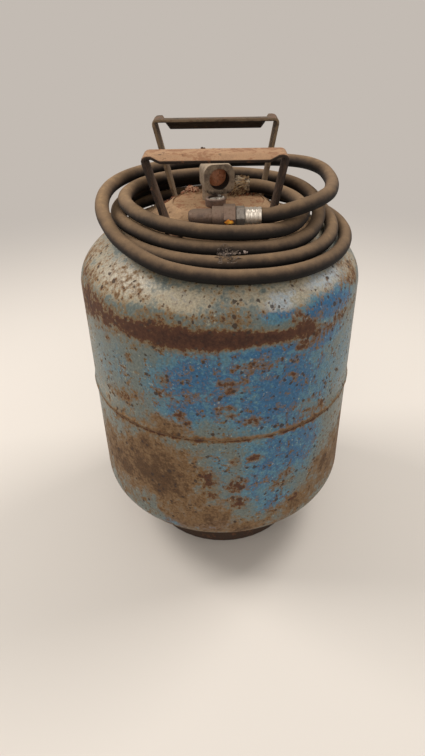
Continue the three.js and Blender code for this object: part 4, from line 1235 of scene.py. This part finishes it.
@dataclass
class Litter:
    """What has gathered on the crown: drifted dust, crumbs, crust, lint and straw.

    A heap gives its middle, its spread across and front to back, a count, and the smallest and the largest
    radius. A row of the drift gives a radius and the dust's depth there. A row of the groove gives a share of
    the way down between the hose's front turns, with the radius and the height there. A row of the pale bits
    gives a bearing, a share of the way down and a radius.
    """

    vessel: Vessel
    seed: int = 7
    flange_edge: float = 51.0
    flange_top: float = 413.0
    dust_columns: int = 144
    drift: tuple[tuple[float, float], ...] = (
        (48, 10.6), (50, 9.9), (51, 9.4), (53, 8.0), (56, 6.2), (60, 4.3), (65, 2.7), (71, 1.5), (78, 0.6),
        (84, 0.05))
    mounds: tuple[tuple[float, float, float], ...] = ((-31, 39.5, 8.5), (-38, 41, 6), (-25, 38.5, 6))
    mound_share: float = 0.62
    mound_crumbs: int = 100
    skirt: Heap = ((-31, 39), 6.0, 4.0, 40, 0.5, 1.1)
    grit: tuple[Heap, ...] = (
        ((-62, 60), 6, 5, 40, 0.4, 1.2), ((0, 28), 22, 10, 70, 0.3, 0.8), ((58, 40), 8, 10, 40, 0.4, 1.1),
        ((-10, -30), 30, 8, 60, 0.25, 0.6), ((12, 34), 7, 4, 50, 0.4, 1.1))
    flakes: tuple[Heap, ...] = (((-54, 34), 5, 5, 70, 0.6, 1.8), ((22, 24), 8, 4, 60, 0.5, 1.4))
    straws: int = 34
    straw_radius: float = 0.4
    hairs: int = 46
    hair_radius: float = 0.36
    groove: tuple[Point, ...] = (
        (0.0, 108.5, 405.6), (0.3, 112.4, 401.2), (0.5, 114.4, 398.8), (0.7, 117.6, 398.4),
        (0.85, 121.2, 396.7), (1.0, 124.0, 393.4))
    pale_bits: tuple[Point, ...] = (
        (11.5, 0.5, 1.3), (9, 0.62, 1.0), (8, 0.85, 0.9), (5, 0.6, 0.8), (12.5, 0.55, 0.8), (2, 0.5, 0.9))
    relief: tuple[float, float] = (-3, -16)
    relief_disc: float = 419.4
    relief_rim: float = 421.3
    crusts: int = 34
    clods: tuple[tuple[Point, float], ...] = (
        ((-0.0145, -0.0402, 0.473), 0.0014), ((-0.0126, -0.0402, 0.4728), 0.001))

    def head(self, radius: float) -> float:
        """Height of the upper head at a distance from the axis, in millimetres."""
        shape = self.vessel
        return shape.upper_tangent + shape.head * math.sqrt(1 - (radius / shape.radius) ** 2)

    def ground(self, x: float, y: float) -> float:
        """Height of the dust at a place.

        Args:
            x: Place to the right in millimetres.
            y: Place to the back in millimetres.

        Returns:
            The height in millimetres.
        """
        radius = math.hypot(x, y)
        if radius < self.flange_edge - 1:
            return self.flange_top
        table = np.array(self.drift)
        return self.head(radius) + float(np.interp(radius, table[:, 0], table[:, 1]))

    def dust(self) -> Piece:
        """Make the dust drifted against the flange, which thins out over the head.

        Returns:
            The dust.
        """
        columns = self.dust_columns
        # The last number is 1 on the loose top and 0 on the underside, which lies just inside the steel
        rows = [(r, self.head(r) + h, 1.0) for r, h in self.drift]
        rows += [(r, self.head(r) - 0.4, 0.0) for r in (83, 70, 60, 52)]
        rows += [(51.4, self.flange_top - 1.5, 0.0), (48.2, self.flange_top - 0.4, 0.0)]
        points = []
        for radius, height, loose in rows:
            for angle in np.linspace(0, 2 * math.pi, columns, endpoint=False):
                x, y = math.sin(angle), -math.cos(angle)
                wave = noise.noise(Vector((x * 6, y * 6, radius / 14)))
                wave += 0.6 * noise.noise(Vector((x * 19, y * 19, radius / 5)))
                reach = radius + loose * 1.6 * wave * (1.0 if radius > 52 else 0.3)
                lift = loose * (0.5 * wave if 50 < radius < 80 else 0.0)
                points.append(polar(angle, reach, height + lift))
        faces = grid_faces(len(rows), columns) + closing_faces(len(rows), columns)
        return mesh_piece("drifted_dust", points, [quad[::-1] for quad in faces], CROWN_DUST.make(), 70.0)

    def spread(self, rng: Random, heaps: Iterable[Heap]) -> list[Lump]:
        """Scatter lumps on the dust.

        Args:
            rng: The random source.
            heaps: The heaps.

        Returns:
            Middle and radius of each lump in metres.
        """
        found = []
        for centre, wide, deep, count, small, large in heaps:
            for _ in range(count):
                x, y = centre[0] + rng.normal(0, wide), centre[1] + rng.normal(0, deep)
                radius = rng.uniform(small, large)
                found.append(lump(x, y, self.ground(x, y) + 0.45 * radius, radius))
        return found

    def mound(self, rng: Random) -> list[Piece]:
        """Make the heap of bright copper-coloured crumbs behind the valve, to the left.

        Args:
            rng: The random source.

        Returns:
            The heap's dark core and the crumbs on it.
        """
        core = []
        bits = self.spread(rng, (self.skirt,))
        for x, y, reach in self.mounds:
            low, size = self.ground(x, y) + 0.2, self.mound_share * reach
            core.append(lump(x, y, low, size))
            for _ in range(self.mound_crumbs):
                turn, out = rng.uniform(0, 2 * math.pi), math.sqrt(rng.uniform(0, 1))
                high = low + size * math.sqrt(max(0.0, 1 - out ** 2))
                bits.append(lump(x + size * out * math.cos(turn), y + size * out * math.sin(turn), high,
                                 rng.uniform(0.4, 1.0)))
        brown = matt_scraps("brown_crumbs", "#8a6448", "#4a3020").make()
        copper = matt_scraps("copper_flakes", "#eec6a4", "#94482a", 1.8).make()
        return [mesh_piece("crumb_heap", *crumbs(core, 0.2), brown),
                mesh_piece("copper_crumbs", *crumbs(bits), copper)]

    def straw(self, rng: Random) -> list[Any]:
        """Lay straw on the flange and the dust behind the valve.

        Args:
            rng: The random source.

        Returns:
            Points of each straw in metres.
        """
        lines = []
        for _ in range(self.straws):
            x, y = rng.normal(14, 10), rng.normal(33, 5)
            turn, length, bend = rng.uniform(0, math.pi), rng.uniform(5, 13), rng.normal(0, 0.5)
            run = []
            for t in np.linspace(-0.5, 0.5, 7):
                px = x + length * t * math.cos(turn + bend * t)
                py = y + length * t * math.sin(turn + bend * t)
                run.append((px * MM, py * MM, (self.ground(px, py) + 0.5 + rng.uniform(0, 0.15)) * MM))
            lines.append(np.array(run))
        return lines

    def groove_at(self, share: float) -> tuple[float, float]:
        """Radius and height of the groove between the hose's front turns, a share of the way down."""
        shares, radii, heights = np.array(self.groove).T
        return float(np.interp(share, shares, radii)), float(np.interp(share, shares, heights))

    def lint(self, rng: Random) -> list[Any]:
        """Lay a tuft of lint between the front turns of the hose.

        Args:
            rng: The random source.

        Returns:
            Points of each hair in metres.
        """
        clear = 0.4
        lines = []
        for _ in range(self.hairs):
            bearing, level = 3.5 + rng.normal(0, 2.6), float(np.clip(rng.normal(0.55, 0.22), 0, 1))
            turn, length, bend = rng.uniform(0, 2 * math.pi), rng.uniform(4, 11), rng.normal(0, 1.3)
            run = []
            for t in np.linspace(-0.5, 0.5, 8):
                aim = turn + bend * t * 2
                radius, height = self.groove_at(float(np.clip(level + length * t * math.sin(aim) / 22, 0, 1)))
                angle = math.radians(bearing + math.degrees(length * t * math.cos(aim) / radius))
                run.append(polar(angle, radius + clear, height + clear))
            lines.append(np.array(run))
        return lines

    def caught(self) -> list[Lump]:
        """Lay the pale crumbs that are caught beside the lint.

        Returns:
            Middle and radius of each crumb in metres.
        """
        bits = []
        for bearing, share, size in self.pale_bits:
            radius, height = self.groove_at(share)
            bits.append((polar(math.radians(bearing), radius, height + 0.5 * size), size * MM))
        return bits

    def crust(self, rng: Random) -> list[Lump]:
        """Lay white corrosion on the right of the relief valve's disc and cup.

        Args:
            rng: The random source.

        Returns:
            Middle and radius of each lump in metres.
        """
        bits = []
        for _ in range(self.crusts):
            turn, out = math.radians(rng.uniform(-70, 75)), rng.uniform(2.2, 8.4)
            x, y = self.relief[0] + out * math.cos(turn), self.relief[1] + out * math.sin(turn)
            high = self.relief_rim if out > 7.2 else self.relief_disc + 0.12 * out
            size = rng.uniform(0.5, 1.2)
            bits.append(lump(x, y, high + 0.1 * size, size))
        return bits

    def build(self) -> list[Piece]:
        """Lay everything.

        Returns:
            The pieces.
        """
        rng = np.random.default_rng(self.seed)
        mud = matt_scraps("dried_mud", "#5c4636", "#2c201a").make()
        clod = mesh_piece("grip_lump", *crumbs(self.clods), mud)
        pieces = [(self.dust(), Slot.FOOT), *((piece, Slot.BRASS) for piece in self.mound(rng))]
        # The shapes stand in the order of their random draws
        plan = (
            ("loose_grit", crumbs(self.spread(rng, self.grit)), "tan_grit", "#b59876", "#5d442f", Slot.FOOT),
            ("rust_flakes", crumbs(self.spread(rng, self.flakes)), "rust_flake", "#8a5233", "#2a1810",
             Slot.FOOT),
            ("straw", tubes(self.straw(rng), self.straw_radius * MM), "dry_straw", "#c3a57c", "#7d5f40",
             Slot.PACKING),
            ("lint_tuft", tubes(self.lint(rng), self.hair_radius * MM), "dark_lint", "#75665a", "#241b16",
             Slot.PACKING),
            ("pale_crumbs", crumbs(self.caught()), "pale_crumb", "#b3a39a", "#7d6d64", Slot.PACKING),
            ("white_crust", crumbs(self.crust(rng)), "zinc_crust", "#e9e4da", "#b7ab9b", Slot.ZINC))
        for name, (points, faces), finish, light, dark, slot in plan:
            pieces.append((mesh_piece(name, points, faces, matt_scraps(finish, light, dark).make()), slot))
        pieces.append((clod, Slot.STRAP))
        return [settle(piece, Body.CYLINDER, slot) for piece, slot in pieces]


@dataclass
class Studio:
    """Camera, plain floor and soft lights.

    Focal length, shift and height are in pixels of the photograph's frame, pitch in degrees, roll in radians
    and places in metres. A lamp's row gives its name, its place, its side in metres and its watts.
    """

    focal: float = 560.0
    height: int = 756
    pitch: float = 33.48
    roll: float = -0.0157
    shift: float = 8.73
    sensor: float = 36.0
    place: Point = (0.0, -0.5923, 0.582)
    floor_half: float = 14.0
    floor_colour: str = "#d9d3cc"
    floor_cloud: str = "#c9c1b8"
    far_colour: str = "#c3bbb3"
    sky_colour: str = "#ece8e3"
    sky_strength: float = 0.5
    lamp_colour: str = "#fffaf4"
    aim: Point = (0.0, 0.0, 0.25)
    lamps: tuple[tuple[str, Point, float, float], ...] = (
        ("left_bank", (-1.45, 0.35, 1.75), 0.9, 28.0), ("right_bank", (1.15, 0.6, 1.95), 0.9, 25.0),
        ("front_fill", (0.15, -2.1, 1.7), 2.0, 17.5))

    def camera(self) -> None:
        """Stand the camera at the photograph's place."""
        data = bpy.data.cameras.new("photo_camera")
        data.sensor_fit = "AUTO"
        data.sensor_width = self.sensor
        data.lens = self.focal * self.sensor / self.height
        data.shift_x = -self.shift / self.height
        data.clip_start, data.clip_end = 0.01, 100.0
        tilt = math.radians(self.pitch)
        right, up = Vector((1, 0, 0)), Vector((0, math.sin(tilt), math.cos(tilt)))
        ahead = Vector((0, math.cos(tilt), -math.sin(tilt)))
        level = right * math.cos(self.roll) + up * math.sin(self.roll)
        plumb = up * math.cos(self.roll) - right * math.sin(self.roll)
        camera = bpy.data.objects.new("photo_camera", data)
        bpy.context.scene.collection.objects.link(camera)
        facing = Matrix((level, plumb, -ahead)).transposed().to_4x4()
        camera.matrix_world = Matrix.Translation(self.place) @ facing
        bpy.context.scene.camera = camera

    def seen(self, tree: Tree) -> Socket:
        """One for the rays that see the background.

        Args:
            tree: The tree that takes the nodes.

        Returns:
            A socket that is one for camera, mirror and clear-glass rays.
        """
        total: Any = 0.0
        for ray in ("Is Camera Ray", "Is Glossy Ray", "Is Transmission Ray"):
            flag = add(tree, "LightPath", out=ray)
            total = add(tree, "Math", {0: flag, 1: total}, operation="MAXIMUM")
        return total

    def floor(self) -> None:
        """Lay a plain pale floor."""
        material, tree = blank("matt_pale_floor")
        place = add(tree, "TexCoord", out="Object")
        # Faint clouding about 400 mm wide
        cloud = add(tree, "TexNoise", {"Vector": place, "Scale": per_mm(400), "Detail": 2.0},
                    out="Fac")
        share = add(tree, "MapRange", {"Value": cloud, "To Max": 0.12})
        colour = add(tree, "Mix", {0: share, 6: srgb(self.floor_colour), 7: srgb(self.floor_cloud)},
                     out=2, data_type="RGBA")
        shader = add(tree, "BsdfPrincipled", {"Base Color": colour, "Roughness": 0.7})
        # Away from the object the floor fades to a plain pale background for the rays that see it
        reach = add(tree, "VectorMath", {0: place}, out="Value", operation="LENGTH")
        fade = add(tree, "MapRange", {"Value": reach, "From Min": 0.45, "From Max": 1.5},
                   interpolation_type="SMOOTHSTEP")
        share = add(tree, "Math", {0: fade, 1: self.seen(tree)}, operation="MULTIPLY")
        pale = add(tree, "Emission", {"Color": srgb(self.far_colour), "Strength": 1.0})
        surface = add(tree, "MixShader", {0: share, 1: shader, 2: pale})
        add(tree, "OutputMaterial", {"Surface": surface})
        far = self.floor_half
        corners = [(-far, -far, 0), (far, -far, 0), (far, far, 0), (-far, far, 0)]
        floor = mesh_piece("floor", corners, [(0, 1, 2, 3)], material)

    def lamp(self, name: str, place: Point, size: float, power: float) -> None:
        """Hang one soft square lamp.

        Args:
            name: The lamp's name.
            place: Where it hangs.
            size: Its side in metres.
            power: Its power in watts.
        """
        data = bpy.data.lights.new(name, "AREA")
        data.size = size
        data.energy = power
        data.color = srgb(self.lamp_colour)[:3]
        lamp = bpy.data.objects.new(name, data)
        lamp.visible_camera = False
        bpy.context.scene.collection.objects.link(lamp)
        lamp.location = place
        lamp.rotation_euler = (Vector(self.aim) - Vector(place)).to_track_quat("-Z", "Y").to_euler()

    def build(self) -> None:
        """Set the whole stage."""
        scene = bpy.context.scene
        scene.view_settings.view_transform = "Standard"
        self.camera()
        self.floor()
        for row in self.lamps:
            self.lamp(*row)
        world = bpy.data.worlds.new("soft_room")
        scene.world = world
        world.use_nodes = True
        tree = world.node_tree
        tree.nodes.clear()
        sky = add(tree, "Background", {
            "Color": srgb(self.sky_colour), "Strength": self.sky_strength})
        pale = add(tree, "Background", {"Color": srgb(self.far_colour), "Strength": 1.0})
        both = add(tree, "MixShader", {0: self.seen(tree), 1: sky, 2: pale})
        add(tree, "OutputWorld", {"Surface": both})


def main() -> None:
    """Build every piece and report its face count."""
    logging.basicConfig(level=logging.INFO, format="%(message)s")
    Studio().build()
    connector, vessel = Connector().build(), Vessel()
    pieces = [*connector, *Hose().build(connector), *vessel.build(), *Steelwork().build(),
              *ValveGroup().build(), *Litter(vessel).build()]
    for piece in pieces:
        LOG.info("%s: %d faces", piece.name, len(piece.data.polygons))


if __name__ == "__main__":
    main()
